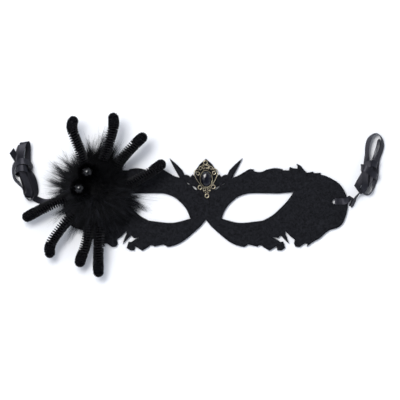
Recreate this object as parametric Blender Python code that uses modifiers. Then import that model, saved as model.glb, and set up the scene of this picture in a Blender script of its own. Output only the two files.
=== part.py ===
"""Half mask of black felt, with a fur and chenille spider over one eye and a brass crest with a black stone.

Metres, +Z up. The mask lies face up with its underside on z = 0 and its brow towards +Y. The origin is under
the bridge of the nose, on the line that the felt is symmetric about. The free forms are drawn on a grid: the
felt's is a share of the mask's width, the spider's a share of its span and the crest's a share of its length.
"""

import math

import bmesh
import bpy
from mathutils import Matrix, Vector

MM = 0.001

# Fits: the gap that two touching pieces keep
FIT_GAP = 0.0003

# Felt
MASK_WIDTH = 0.2268
MASK_WIDTH_STEPS = 283.6
FELT_THICKNESS = 0.0025
RIBBON_HOLE_DIAMETER = 0.004
SLIT_WIDTH = 0.0011
FELT_GRID = MASK_WIDTH / MASK_WIDTH_STEPS

# Spider
SPIDER_SPAN = 0.1328
SPIDER_SPAN_STEPS = 166
FUR_WIDTH = 0.062
FUR_LENGTH = 0.069
FUR_HEIGHT = 0.031
FUR_SINK = 0.009
FUR_TUFTS = 80
LEG_DIAMETER = 0.0086
LEG_TIP_DIAMETER = 0.0094
LEG_TIP_LENGTH = 0.013
# The rounded end of a leg: distance past its route's end and radius there, as shares of the tip's radius
LEG_END = ((0.0, 0.94), (0.22, 0.8), (0.4, 0.45))
BEAD_DIAMETER = 0.0088
SPIDER_GRID = SPIDER_SPAN / SPIDER_SPAN_STEPS

# Brass crest and stone
CREST_LENGTH = 0.0306
CREST_LENGTH_STEPS = 38.3
WIRE_DIAMETER = 0.0012
BEZEL_WALL = 0.0006
BEZEL_HEIGHT = 0.0022
BEZEL_FLOOR = 0.0007
STONE_WIDTH = 0.009
STONE_LENGTH = 0.0127
STONE_HEIGHT = 0.0042
# Rows of the stone's corners, from its back to its face: how many, turned by what share of a facet, and
# their size and height as shares of the stone's
STONE_ROWS = (
    (20, 0.0, 0.92, 0.0),
    (20, 0.0, 1.0, 0.1),
    (20, 0.0, 1.0, 0.33),
    (10, 0.5, 0.74, 0.72),
    (5, 0.25, 0.36, 1.0),
)
CREST_GRID = CREST_LENGTH / CREST_LENGTH_STEPS

# Ribbons
RIBBON_WIDTH = 0.005
RIBBON_THICKNESS = 0.0005
BUNDLE_HEIGHT = 0.011

# Right half of the felt's outline in grid steps, from the top of the crest clockwise to the nose.
# Each run is (smooth, points): a smooth run is a curve through its points, the others are cut straight.
FELT_RUNS = (
    (True, ((0, 46.2), (2.9, 43.6), (6.1, 40.8), (8.1, 37.7))),
    (False, ((9.3, 33.5), (11.3, 28.8), (13.2, 30.7), (15.5, 28.1))),
    (True, ((17.4, 29.6), (19.5, 30.3), (21.3, 30.0))),
    (True, ((23.7, 35.0), (29.5, 40.8), (36.5, 46.8))),
    (True, ((36.5, 46.8), (31.8, 37.2), (26.2, 27.2))),
    (True, ((26.2, 27.2), (31.8, 29.2), (39.1, 33.4), (43.2, 35.7), (47.8, 35.7))),
    (True, ((47.4, 34.3), (51.5, 33.0), (56.5, 33.4), (61.5, 35.6), (68.9, 36.9), (76.4, 35.9))),
    (False, ((76.8, 34.7), (83.0, 34.7), (83.9, 38.0), (87.2, 36.8))),
    (False, ((91.3, 36.3), (91.7, 38.4), (90.5, 41.3))),
    (True, ((90.5, 41.3), (94.6, 39.2), (97.9, 35.1), (101.3, 32.2))),
    (False, ((107.1, 33.4), (107.1, 31.8), (114.5, 32.2), (114.9, 30.5))),
    (True, ((114.9, 30.5), (121.2, 28.5), (127.8, 25.1), (133.6, 21.0), (138.0, 15.0))),
    (True, ((138.0, 15.0), (140.9, 8.0), (141.8, 1.2), (141.5, -4.0), (140.2, -10.0))),
    (True, ((140.2, -10.0), (136.9, -18.0), (131.9, -22.5), (123.7, -25.0))),
    (True, ((123.7, -25.0), (118.7, -28.7), (113.7, -33.3), (107.1, -37.0), (100.9, -41.6))),
    (False, ((101.7, -38.7), (98.8, -38.3), (93.8, -42.0), (89.7, -41.6), (88.0, -38.7), (88.8, -34.6))),
    (True, ((88.8, -34.6), (83.9, -30.8), (79.3, -25.8))),
    (True, ((79.3, -28.7), (81.4, -33.7), (83.0, -38.7))),
    (False, ((80.5, -36.2), (77.2, -32.9), (74.7, -30.4), (72.2, -32.9), (65.6, -31.9))),
    (False, ((70.6, -34.1), (74.7, -37.0), (77.2, -36.6), (79.3, -42.8))),
    (False, ((75.6, -45.3), (71.4, -45.3), (70.6, -41.2))),
    (True, ((63.5, -45.7), (58.1, -42.4), (55.7, -40.4))),
    (False, ((52.8, -40.4), (51.5, -41.6), (42.4, -39.5), (38.2, -42.0), (34.1, -41.2))),
    (True, ((34.1, -41.2), (28.0, -39.2), (20.4, -34.6), (10.6, -26.2), (5.0, -21.0), (0, -14.7))),
)
# Right eye hole: from the inner corner over the top to the outer tip, and back along the bottom
EYE_RUNS = (
    (True, ((15.5, -13.6), (20.4, -3.0), (30.2, 6.8), (40.0, 11.0), (50.7, 11.8), (72.3, 11.4))),
    (False, ((87.6, 12.9),)),
    (True, ((87.6, 12.9), (82.1, 5.0), (75.1, -2.5), (66.7, -10.1), (57.0, -15.6))),
    (True, ((57.0, -15.6), (34.1, -17.8), (15.5, -13.6))),
)
# Slits beside the crest, from end to end, and the shape of one: share of its length and of its width
SLIT_SHAPE = ((0.35, 1.0), (0.7, 0.8))
SLITS = (((8.6, 15.0), (14.0, 19.3)), ((16.4, 20.6), (19.2, 22.3)))
# The ribbon hole's place
RIBBON_HOLE = (128.6, 3.4)
RIBBON_HOLE_SIDES = 14
# Points closer than this share of a grid step are one point
SAME_POINT = 0.01

# The spider's middle on the felt grid
SPIDER_MIDDLE = (-105.9, 12.0)
# Tufts stand proud by this share of the fur's radius, and the share that a tuft or a lock narrows by
TUFT_HEIGHT = 0.12
TUFT_SINK = 0.6
TUFT_NARROWNESS = 55
LOCK_NARROWNESS = 45
# Long locks on the fur's outline: (direction in degrees, reach beyond the fur as a share of its radius)
FUR_LOCKS = ((97, 0.28), (72, 0.14), (140, 0.2), (160, 0.2), (181, 0.26), (-15, 0.2), (12, 0.1), (-70, 0.08))
# Each leg from its root under the fur to its tip: steps of the spider's grid from its middle
LEG_ROUTES = (
    ((-13.5, 20, 10), (-17, 34, 15), (-20, 44, 18), (-24.8, 56, 20), (-27.6, 66, 19), (-25.4, 74, 17)),
    ((-0.5, 21.5, 10), (4.5, 36, 16), (8.5, 47, 20), (12.2, 59, 22), (14.2, 68, 22), (13.6, 77.4, 20)),
    ((12, 16.5, 10), (20, 31, 16), (27, 39.5, 20), (34.5, 47.5, 22), (40, 52.8, 21), (44.3, 57, 19)),
    ((19, 3.5, 10), (30, 9, 14), (39, 13.8, 17), (47.8, 18.8, 18), (56.3, 24.7, 17), (63.2, 29.8, 14)),
    ((-20, -0.5, 11), (-34, -5.5, 14), (-45, -10, 15), (-55, -14.8, 14), (-65, -19.8, 11), (-74.6, -25, 8)),
    ((-18, -13, 10), (-31, -26.5, 14), (-40, -37.5, 15), (-46.8, -47, 13), (-50, -55, 11), (-49.3, -62.3, 9)),
    ((-10.5, -25, 9), (-11, -38, 13), (-13.3, -49, 14), (-16, -58, 13), (-18.8, -65, 10), (-20.2, -71.5, 8)),
    ((2, -22.5, 10), (0, -38, 14), (-0.8, -49, 15), (-1.2, -60, 14), (-1.5, -71, 11), (-1.3, -81.5, 9)),
)
LEG_SAMPLES = 2
# Beads on the fur: place in steps from the spider's middle
BEAD_PLACES = {"eye_bead_upper": (-11.7, 20.5), "eye_bead_lower": (-19.7, 4.5)}

# The crest's middle on the felt grid, and its wire shapes in steps of its own grid. A ring is x, y and
# its outer radius.
CREST_MIDDLE = (0.3, 26.1)
CREST_TILT = math.radians(2.4)
CREST_RINGS = {
    "top": (0, 16.4, 2.5),
    "cheek": (8.0, 5.8, 1.9),
    "foot": (6.7, -8.3, 2.4),
    "bud": (2.1, -10.1, 1.8),
    "brow": (5.4, 10.9, 2.1),
    "tail": (0, -16.8, 2.5),
}
CREST_WIRES = {
    "side scroll": (
        (6.6, 8.8), (8.6, 9.9), (10.8, 9.0), (11.8, 7.0), (11.6, 4.6),
        (10.6, 1.8), (9.0, -1.4), (6.9, -4.3), (4.8, -6.4),
    ),
    "brow scroll": ((1.4, 14.6), (2.6, 13.2), (2.0, 11.7), (1.2, 10.6), (1.6, 8.8)),
    "tail scroll": ((2.3, -11.6), (1.5, -13.2), (2.5, -14.4), (1.7, -15.4)),
    "cheek link": ((4.9, 5.5), (7.2, 5.7)),
}

# Ribbons, in millimetres: each point is (x, y, z) and the direction across the ribbon there
RIGHT_ROUTE = (
    ((103.2, 2.9, 3.05), (0, 1, 0)),
    ((106.6, 2.8, 3.05), (0, 1, 0)),
    ((110.2, 2.9, 3.3), (0, 1, 0.1)),
    ((113.4, 4.2, 4.9), (-0.3, 0.8, 0.5)),
    ((115.9, 6.4, 5.6), (-0.5, 0.4, 0.8)),
    ((117.4, 4.6, 4.4), (0, -0.2, 1)),
    ((116.4, 1.6, 3.3), (0, 0, 1)),
    ((115.3, -0.7, 3.0), (0, 0, 1)),
    ((116.3, -0.9, 3.0), (0, 0, 1)),
    ((118.0, 2.4, 3.0), (0, 0, 1)),
    ((119.9, 6.3, 3.2), (0, 0, 1)),
    ((123.5, 10.9, 3.8), (0, 0, 1)),
)
LEFT_ROUTE = (
    ((-103.2, 2.9, 3.05), (0, 1, 0)),
    ((-108.0, 3.0, 3.05), (0, 1, 0)),
    ((-113.6, 3.2, 3.05), (0, 1, 0)),
    ((-119.0, 3.4, 2.4), (0, 1, 0)),
    ((-124.0, 2.6, 1.5), (0, 1, 0)),
    ((-129.0, 2.4, 1.2), (0, 1, 0)),
    ((-134.0, 4.0, 1.5), (0.2, 1, 0)),
    ((-137.5, 6.3, 2.2), (0.4, 0.9, 0.1)),
)
ROUTE_SAMPLES = 3
BUNDLE_SAMPLES = 2
# Outer shape of each ribbon's bundle, in millimetres
RIGHT_BUNDLE = (
    (127, 37), (126.4, 48), (130, 56), (136, 58.6), (141.5, 55), (142.6, 47), (138.8, 37), (138, 27),
    (134.8, 16.5), (133.6, 9.5), (129, 6), (123.6, 8), (118, 14.5), (120, 21), (122.6, 28), (124, 35),
)
LEFT_BUNDLE = (
    (-151.5, 36), (-156.6, 41.4), (-154.2, 45.3), (-151, 43), (-150.8, 47), (-148, 50.6), (-142.8, 51),
    (-140.4, 44), (-141, 36), (-138, 29), (-137.6, 24), (-135.4, 19), (-133.8, 10.5), (-135, 5.4),
    (-138.5, 3), (-142.5, 4), (-145.6, 8.5), (-147.4, 15), (-152.6, 19), (-154.8, 27), (-153.6, 33),
)


def clear_scene():
    for obj in list(bpy.data.objects):
        bpy.data.objects.remove(obj, do_unlink=True)


def new_collection(name):
    collection = bpy.data.collections.new(name)
    bpy.context.scene.collection.children.link(collection)
    return collection


def material(name, colour, roughness, metallic=0.0):
    made = bpy.data.materials.new(name)
    made.use_nodes = True
    shader = made.node_tree.nodes["Principled BSDF"]
    shader.inputs["Base Color"].default_value = (*colour, 1)
    shader.inputs["Roughness"].default_value = roughness
    shader.inputs["Metallic"].default_value = metallic
    return made


def add_object(name, data, collection, finish=None):
    obj = bpy.data.objects.new(name, data)
    collection.objects.link(obj)
    if finish:
        data.materials.append(finish)
    return obj


def to_mesh(obj, merge=0.00001):
    """The object as modelled, made one plain mesh object with the same name and place."""
    graph = bpy.context.evaluated_depsgraph_get()
    graph.update()
    mesh = bpy.data.meshes.new_from_object(obj.evaluated_get(graph))
    bm = bmesh.new()
    bm.from_mesh(mesh)
    bmesh.ops.remove_doubles(bm, verts=bm.verts, dist=merge)
    bmesh.ops.recalc_face_normals(bm, faces=bm.faces)
    bm.to_mesh(mesh)
    bm.free()
    name = obj.name
    collection = obj.users_collection[0]
    place = obj.matrix_world.copy()
    bpy.data.objects.remove(obj, do_unlink=True)
    made = bpy.data.objects.new(name, mesh)
    made.matrix_world = place
    collection.objects.link(made)
    return made


def make_cutter(obj):
    obj.hide_render = True
    obj.display_type = "WIRE"
    return obj


def cut(obj, cutter):
    modifier = obj.modifiers.new("cut by " + cutter.name, "BOOLEAN")
    modifier.operation = "DIFFERENCE"
    modifier.object = cutter


def join(obj, other):
    modifier = obj.modifiers.new("join " + other.name, "BOOLEAN")
    modifier.operation = "UNION"
    modifier.object = other


def curve_through(points, samples, closed=False):
    """Catmull-Rom curve through the points, with so many samples from each point to the next."""
    points = [Vector(p) for p in points]
    count = len(points)
    spans = count if closed else count - 1
    made = []
    for i in range(spans):
        if closed:
            a, b, c, d = (points[(i + k) % count] for k in (-1, 0, 1, 2))
        else:
            b, c = points[i], points[i + 1]
            a = points[i - 1] if i else 2 * b - c
            d = points[i + 2] if i + 2 < count else 2 * c - b
        for k in range(samples):
            t = k / samples
            bend = (2 * a - 5 * b + 4 * c - d) * t**2 + (3 * b - a - 3 * c + d) * t**3
            made.append(0.5 * (2 * b + (c - a) * t + bend))
    if not closed:
        made.append(points[-1])
    return made


def runs_to_outline(runs, samples=2):
    """One closed outline from its smooth and straight runs, without the points that two runs share."""
    outline = []
    for smooth, points in runs:
        made = curve_through(points, samples) if smooth else [Vector(p) for p in points]
        outline += [p for p in made if not outline or (p - outline[-1]).length > SAME_POINT]
    if (outline[0] - outline[-1]).length < SAME_POINT:
        outline.pop()
    return outline


def flat_solid(name, outlines, thickness, collection, finish):
    """Flat outlines, in metres, made one solid from z = 0 up. Outlines inside another are its holes."""
    data = bpy.data.curves.new(name, "CURVE")
    data.dimensions = "2D"
    data.fill_mode = "BOTH"
    data.extrude = thickness / 2
    for outline in outlines:
        spline = data.splines.new("POLY")
        spline.points.add(len(outline) - 1)
        spline.use_cyclic_u = True
        for point, place in zip(spline.points, outline):
            point.co = (place[0], place[1], 0, 1)
    obj = add_object(name, data, collection, finish)
    obj.location.z = thickness / 2
    bpy.context.view_layer.update()
    return to_mesh(obj)


def tube(name, points, radii, collection, finish=None, resolution=2):
    """A tube along the points with a radius at each, capped at both ends."""
    data = bpy.data.curves.new(name, "CURVE")
    data.dimensions = "3D"
    data.bevel_depth = 1.0
    data.bevel_resolution = resolution
    data.use_fill_caps = True
    spline = data.splines.new("POLY")
    spline.points.add(len(points) - 1)
    for point, place, radius in zip(spline.points, points, radii):
        point.co = (*place, 1)
        point.radius = radius
    return to_mesh(add_object(name, data, collection, finish))


def mesh_object(name, bm, collection, finish=None):
    mesh = bpy.data.meshes.new(name)
    bm.to_mesh(mesh)
    bm.free()
    return add_object(name, mesh, collection, finish)


def felt_point(step):
    return Vector((step[0] * FELT_GRID, step[1] * FELT_GRID))


def mirrored(outline):
    return [Vector((-p[0], p[1])) for p in outline]


def slit_outline(start, end):
    """A lens-shaped slit between two grid points."""
    start, end = felt_point(start), felt_point(end)
    across = (end - start).orthogonal().normalized() * SLIT_WIDTH / 2
    one_side = [start.lerp(end, along) + across * wide for along, wide in SLIT_SHAPE]
    other_side = [start.lerp(end, along) - across * wide for along, wide in reversed(SLIT_SHAPE)]
    return [start, *one_side, end, *other_side]


def make_felt(collection, finish):
    right = [felt_point(p) for p in runs_to_outline(FELT_RUNS)]
    left = mirrored(p for p in reversed(right) if p[0] > FELT_GRID * SAME_POINT)
    middle = felt_point(RIBBON_HOLE)
    radius = RIBBON_HOLE_DIAMETER / 2
    turns = [math.tau * k / RIBBON_HOLE_SIDES for k in range(RIBBON_HOLE_SIDES)]
    holes = [
        [felt_point(p) for p in runs_to_outline(EYE_RUNS, 3)],
        [middle + radius * Vector((math.cos(turn), math.sin(turn))) for turn in turns],
    ]
    holes += [slit_outline(start, end) for start, end in SLITS]
    holes += [mirrored(hole) for hole in holes]
    return flat_solid("felt_mask", [right + left] + holes, FELT_THICKNESS, collection, finish)


def spider_point(place):
    """Metres from steps of the spider's grid, measured from its middle on the felt's face."""
    middle = felt_point(SPIDER_MIDDLE)
    return Vector((middle.x, middle.y, FELT_THICKNESS)) + Vector(place) * SPIDER_GRID


def fur_base():
    return FELT_THICKNESS + FIT_GAP


def fur_body():
    """Half sizes of the fur's rounded body, and its middle."""
    half_height = (FUR_HEIGHT + FUR_SINK) / 2
    middle = spider_point((0, 0, 0))
    middle.z = fur_base() + FUR_HEIGHT - half_height
    return Vector((FUR_WIDTH / 2, FUR_LENGTH / 2, half_height)), middle


def tuft_directions():
    """Directions spread evenly over a sphere, one for each tuft."""
    golden_turn = math.pi * (3 - math.sqrt(5))
    for k in range(FUR_TUFTS):
        z = 1 - 2 * (k + 0.5) / FUR_TUFTS
        flat = math.sqrt(1 - z * z)
        yield Vector((flat * math.cos(golden_turn * k), flat * math.sin(golden_turn * k), z))


def make_fur(collection, finish):
    """A rounded body with blunt tufts all over and longer locks on its outline, flat where it is glued."""
    axes, middle = fur_body()
    tufts = list(tuft_directions())
    locks = [
        (Vector((math.cos(math.radians(turn)), math.sin(math.radians(turn)), 0)), reach)
        for turn, reach in FUR_LOCKS
    ]
    bm = bmesh.new()
    bmesh.ops.create_icosphere(bm, subdivisions=4, radius=1)
    for vert in bm.verts:
        direction = vert.co.normalized()
        nearest = max(direction.dot(tuft) for tuft in tufts)
        swell = 1 + TUFT_HEIGHT * (math.exp(-(1 - nearest) * TUFT_NARROWNESS) - TUFT_SINK)
        swell += sum(reach * math.exp(-(1 - direction.dot(lock)) * LOCK_NARROWNESS) for lock, reach in locks)
        vert.co = middle + Vector(d * axis for d, axis in zip(direction, axes)) * swell
    cut_faces = bmesh.ops.bisect_plane(
        bm,
        geom=bm.verts[:] + bm.edges[:] + bm.faces[:],
        plane_co=(0, 0, fur_base()),
        plane_no=(0, 0, -1),
        clear_outer=True,
    )
    edges = [e for e in cut_faces["geom_cut"] if isinstance(e, bmesh.types.BMEdge)]
    bmesh.ops.edgeloop_fill(bm, edges=edges)
    bmesh.ops.recalc_face_normals(bm, faces=bm.faces)
    return mesh_object("fur_pompom", bm, collection, finish)


def leg_tube(name, route, grow, collection, finish=None):
    """A chenille stem along its route: even thickness, a fuller tip and a rounded end."""
    points = curve_through([spider_point(p) for p in route], LEG_SAMPLES)
    points[0] += (points[0] - points[1]).normalized() * grow
    end = points[-1]
    radii = []
    for point in points:
        fullness = min(1, 2 * max(0, 1 - (end - point).length / LEG_TIP_LENGTH))
        radii.append((LEG_DIAMETER + (LEG_TIP_DIAMETER - LEG_DIAMETER) * fullness) / 2 + grow)
    forward = (end - points[-2]).normalized()
    tip_radius = radii.pop()
    points.pop()
    for beyond, share in LEG_END:
        points.append(end + forward * tip_radius * beyond)
        radii.append(tip_radius * share)
    return tube(name, points, radii, collection, finish)


def make_bead(name, place, grow, collection, finish=None):
    """A bead half sunk in the fur's surface."""
    axes, middle = fur_body()
    centre = spider_point((*place, 0))
    flat = centre - middle
    centre.z = middle.z + axes.z * math.sqrt(1 - (flat.x / axes.x) ** 2 - (flat.y / axes.y) ** 2)
    bm = bmesh.new()
    bmesh.ops.create_uvsphere(bm, u_segments=16, v_segments=10, radius=BEAD_DIAMETER / 2 + grow)
    bead = mesh_object(name, bm, collection, finish)
    bead.location = centre
    bead.data.shade_smooth()
    return bead


def crest_place():
    """Where the crest sits on the felt: its middle, and the slight tilt that it is glued on at."""
    middle = felt_point(CREST_MIDDLE)
    place = Vector((middle.x, middle.y, FELT_THICKNESS + FIT_GAP))
    return Matrix.Translation(place) @ Matrix.Rotation(CREST_TILT, 4, "Z")


def crest_point(x, y, z=0.0):
    """Metres from steps of the crest's grid. z is in metres above the felt."""
    return crest_place() @ Vector((x * CREST_GRID, y * CREST_GRID, z))


def oval(name, width, length, bottom, top, collection, sides=28):
    """An upright oval block on the crest's middle."""
    bm = bmesh.new()
    bmesh.ops.create_cone(bm, cap_ends=True, segments=sides, radius1=0.5, radius2=0.5, depth=1)
    bmesh.ops.scale(bm, vec=(width, length, top - bottom), verts=bm.verts)
    bmesh.ops.translate(bm, vec=(0, 0, (bottom + top) / 2), verts=bm.verts)
    bmesh.ops.transform(bm, matrix=crest_place(), verts=bm.verts)
    return mesh_object(name, bm, collection)


def wire_ring(name, x, y, outer, collection):
    radius = outer * CREST_GRID - WIRE_DIAMETER / 2
    bpy.ops.mesh.primitive_torus_add(
        major_radius=radius,
        minor_radius=WIRE_DIAMETER / 2,
        major_segments=10,
        minor_segments=6,
        location=crest_point(x, y, WIRE_DIAMETER / 2),
    )
    ring = bpy.context.object
    ring.name = name
    for other in list(ring.users_collection):
        other.objects.unlink(ring)
    collection.objects.link(ring)
    return ring


def wire(name, points, side, collection):
    places = [crest_point(x * side, y, WIRE_DIAMETER / 2) for x, y in points]
    return tube(name, places, [WIRE_DIAMETER / 2] * len(places), collection, resolution=1)


def make_crest(collection, cutters, finish):
    """The cast setting: an oval cup for the stone, with rings and scrolls of wire around it."""
    pocket_width = STONE_WIDTH + 2 * FIT_GAP
    pocket_length = STONE_LENGTH + 2 * FIT_GAP
    setting = oval(
        "brass_filigree_setting",
        pocket_width + 2 * BEZEL_WALL,
        pocket_length + 2 * BEZEL_WALL,
        0,
        BEZEL_HEIGHT,
        collection,
    )
    setting.data.materials.append(finish)
    shapes = []
    for name, (x, y, outer) in CREST_RINGS.items():
        for side in (1, -1) if x else (1,):
            shapes.append(wire_ring(f"crest {name} ring {side}", x * side, y, outer, cutters))
    for name, points in CREST_WIRES.items():
        for side in (1, -1):
            shapes.append(wire(f"crest {name} {side}", points, side, cutters))
    for shape in shapes:
        join(setting, make_cutter(shape))
    pocket = oval("stone pocket", pocket_width, pocket_length, BEZEL_FLOOR, BEZEL_HEIGHT * 2, cutters)
    cut(setting, make_cutter(pocket))
    return setting


def make_stone(collection, finish):
    """A faceted oval stone: the hull of its rows of corners."""
    bottom = BEZEL_FLOOR + FIT_GAP
    bm = bmesh.new()
    for count, shift, size, height in STONE_ROWS:
        for k in range(count):
            turn = math.tau * (k + shift) / count
            x, y = size * STONE_WIDTH / 2 * math.cos(turn), size * STONE_LENGTH / 2 * math.sin(turn)
            bm.verts.new(crest_place() @ Vector((x, y, bottom + height * STONE_HEIGHT)))
    bmesh.ops.convex_hull(bm, input=bm.verts)
    return mesh_object("black_faceted_stone", bm, collection, finish)


def ribbon_strip(name, route, grow, collection, finish=None):
    """A flat strip along the route: an open surface between its edges, with Solidify for its thickness."""
    places = curve_through([Vector(place) * MM for place, _ in route], ROUTE_SAMPLES)
    acrosses = curve_through([Vector(across) for _, across in route], ROUTE_SAMPLES)
    bm = bmesh.new()
    edges = []
    for i, (place, across) in enumerate(zip(places, acrosses)):
        along = (places[min(i + 1, len(places) - 1)] - places[max(i - 1, 0)]).normalized()
        across = (across - along * across.dot(along)).normalized() * (RIBBON_WIDTH / 2 + grow)
        shift = along * grow * ((i == len(places) - 1) - (i == 0))
        edges.append((bm.verts.new(place + across + shift), bm.verts.new(place - across + shift)))
    for (a, b), (d, c) in zip(edges, edges[1:]):
        bm.faces.new((a, b, c, d))
    strip = mesh_object(name, bm, collection, finish)
    thick = strip.modifiers.new("ribbon thickness", "SOLIDIFY")
    thick.thickness = RIBBON_THICKNESS + 2 * grow
    thick.offset = 0
    return to_mesh(strip)


def make_ribbon(side, route, outline, collection, cutters, finish):
    """The strip from the mask's hole, and the plain outer shape of the tied bundle that it runs into."""
    ribbon_strip(f"ribbon_lead_{side}", route, 0, collection, finish)
    slot = make_cutter(ribbon_strip(f"ribbon slot {side}", route, FIT_GAP, cutters))
    places = [Vector(p) * MM for p in outline]
    round_outline = curve_through(places, BUNDLE_SAMPLES, closed=True)
    bundle = flat_solid(f"ribbon_bundle_{side}", [round_outline], BUNDLE_HEIGHT, collection, finish)
    cut(bundle, slot)
    return slot


def main():
    clear_scene()
    pieces = new_collection("spider_half_mask")
    cutters = new_collection("cutters")
    felt = material("black felt", (0.012, 0.012, 0.014), 0.95)
    fur = material("black fur", (0.006, 0.006, 0.007), 0.8)
    chenille = material("black chenille", (0.006, 0.006, 0.007), 0.9)
    bead = material("black bead", (0.005, 0.005, 0.005), 0.08)
    brass = material("antique brass", (0.5, 0.4, 0.22), 0.4, 1.0)
    stone = material("black stone", (0.005, 0.005, 0.007), 0.05)
    satin = material("black ribbon", (0.02, 0.02, 0.025), 0.45)

    make_felt(pieces, felt)
    body = make_fur(pieces, fur)
    for number, route in enumerate(LEG_ROUTES, 1):
        leg_tube(f"leg_{number}", route, 0, pieces, chenille)
        cut(body, make_cutter(leg_tube(f"leg socket {number}", route, FIT_GAP, cutters)))
    for name, place in BEAD_PLACES.items():
        make_bead(name, place, 0, pieces, bead)
        cut(body, make_cutter(make_bead(name + " socket", place, FIT_GAP, cutters)))
    make_crest(pieces, cutters, brass)
    make_stone(pieces, stone)
    make_ribbon("right", RIGHT_ROUTE, RIGHT_BUNDLE, pieces, cutters, satin)
    slot = make_ribbon("left", LEFT_ROUTE, LEFT_BUNDLE, pieces, cutters, satin)
    cut(body, slot)


main()
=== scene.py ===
"""Black felt half mask with a fur and chenille spider, a brass crest and ribbon ties, on a pale table."""

import math

import bmesh
import bpy
from mathutils import Euler, Matrix, Vector, noise


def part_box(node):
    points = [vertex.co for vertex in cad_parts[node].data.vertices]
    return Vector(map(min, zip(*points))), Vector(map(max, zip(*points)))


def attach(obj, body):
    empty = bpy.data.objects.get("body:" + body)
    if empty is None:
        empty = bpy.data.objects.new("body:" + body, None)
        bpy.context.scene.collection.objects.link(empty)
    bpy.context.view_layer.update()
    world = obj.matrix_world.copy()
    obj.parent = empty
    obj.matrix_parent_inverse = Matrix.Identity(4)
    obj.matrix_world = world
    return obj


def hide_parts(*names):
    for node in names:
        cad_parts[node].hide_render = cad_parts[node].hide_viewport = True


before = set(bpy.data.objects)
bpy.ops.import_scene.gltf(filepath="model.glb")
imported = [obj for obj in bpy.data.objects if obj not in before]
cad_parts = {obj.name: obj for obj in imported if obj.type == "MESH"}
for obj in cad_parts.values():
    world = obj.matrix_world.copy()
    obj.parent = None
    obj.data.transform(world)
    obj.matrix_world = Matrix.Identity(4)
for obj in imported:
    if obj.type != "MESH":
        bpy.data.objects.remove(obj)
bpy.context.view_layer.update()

# Camera. The photograph looks straight down on the table, from far enough away that nothing leans. Its frame
# is a square of table, and its middle lies a little to the left of the nose and above it.
MM = 0.001
FRAME_SIDE = 320 * MM
FRAME_MIDDLE = Vector((-4.72 * MM, 4.0 * MM, 0))
LENS = 400.0
SENSOR = 36.0
CAMERA_REACH = 20.0


def add_object(name, data):
    """A new object in the scene, at the origin."""
    made = bpy.data.objects.new(name, data)
    bpy.context.scene.collection.objects.link(made)
    return made


camera_data = bpy.data.cameras.new("camera")
camera_data.lens = LENS
camera_data.sensor_width = SENSOR
camera_data.clip_end = CAMERA_REACH
camera = add_object("camera", camera_data)
camera.location = FRAME_MIDDLE + Vector((0, 0, FRAME_SIDE * LENS / SENSOR))
bpy.context.scene.camera = camera

# Ribbons. Each tie is one length of black satin ribbon, limp and flat. It is knotted through the hole at its
# end of the felt, and its spare length is doubled into loops and wound round itself in a small bundle.
RIBBON_WIDTH = 5.0 * MM
RIBBON_THICKNESS = 0.3 * MM
# Samples from each point of a tie to the next
RIBBON_SAMPLES = 6
# How far a fold may widen the ribbon's slanted section, and how much its edges curl up, as a share of its
# width
FOLD_WIDENING = 1.5
RIBBON_CURL = 0.03
# Points across the ribbon's face, as shares of half its width
FACE_PLACES = (-1.0, -0.94, -0.5, 0.0, 0.5, 0.94, 1.0)
# Satin: how fine its threads are along and across, where its woven edge begins in millimetres from its middle
# line, and the colours of its face and of that edge
THREAD_FINENESS = (0.25, 9.0, 1.0)
WOVEN_EDGE = (2.0, 2.2)
SATIN_COLOURS = (0.002, 0.002, 0.003), (0.006, 0.006, 0.008)
EDGE_COLOUR = (0.003, 0.003, 0.004, 1)
# A smooth piece keeps its edges that are sharper than this
SHARP = math.radians(50)

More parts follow.
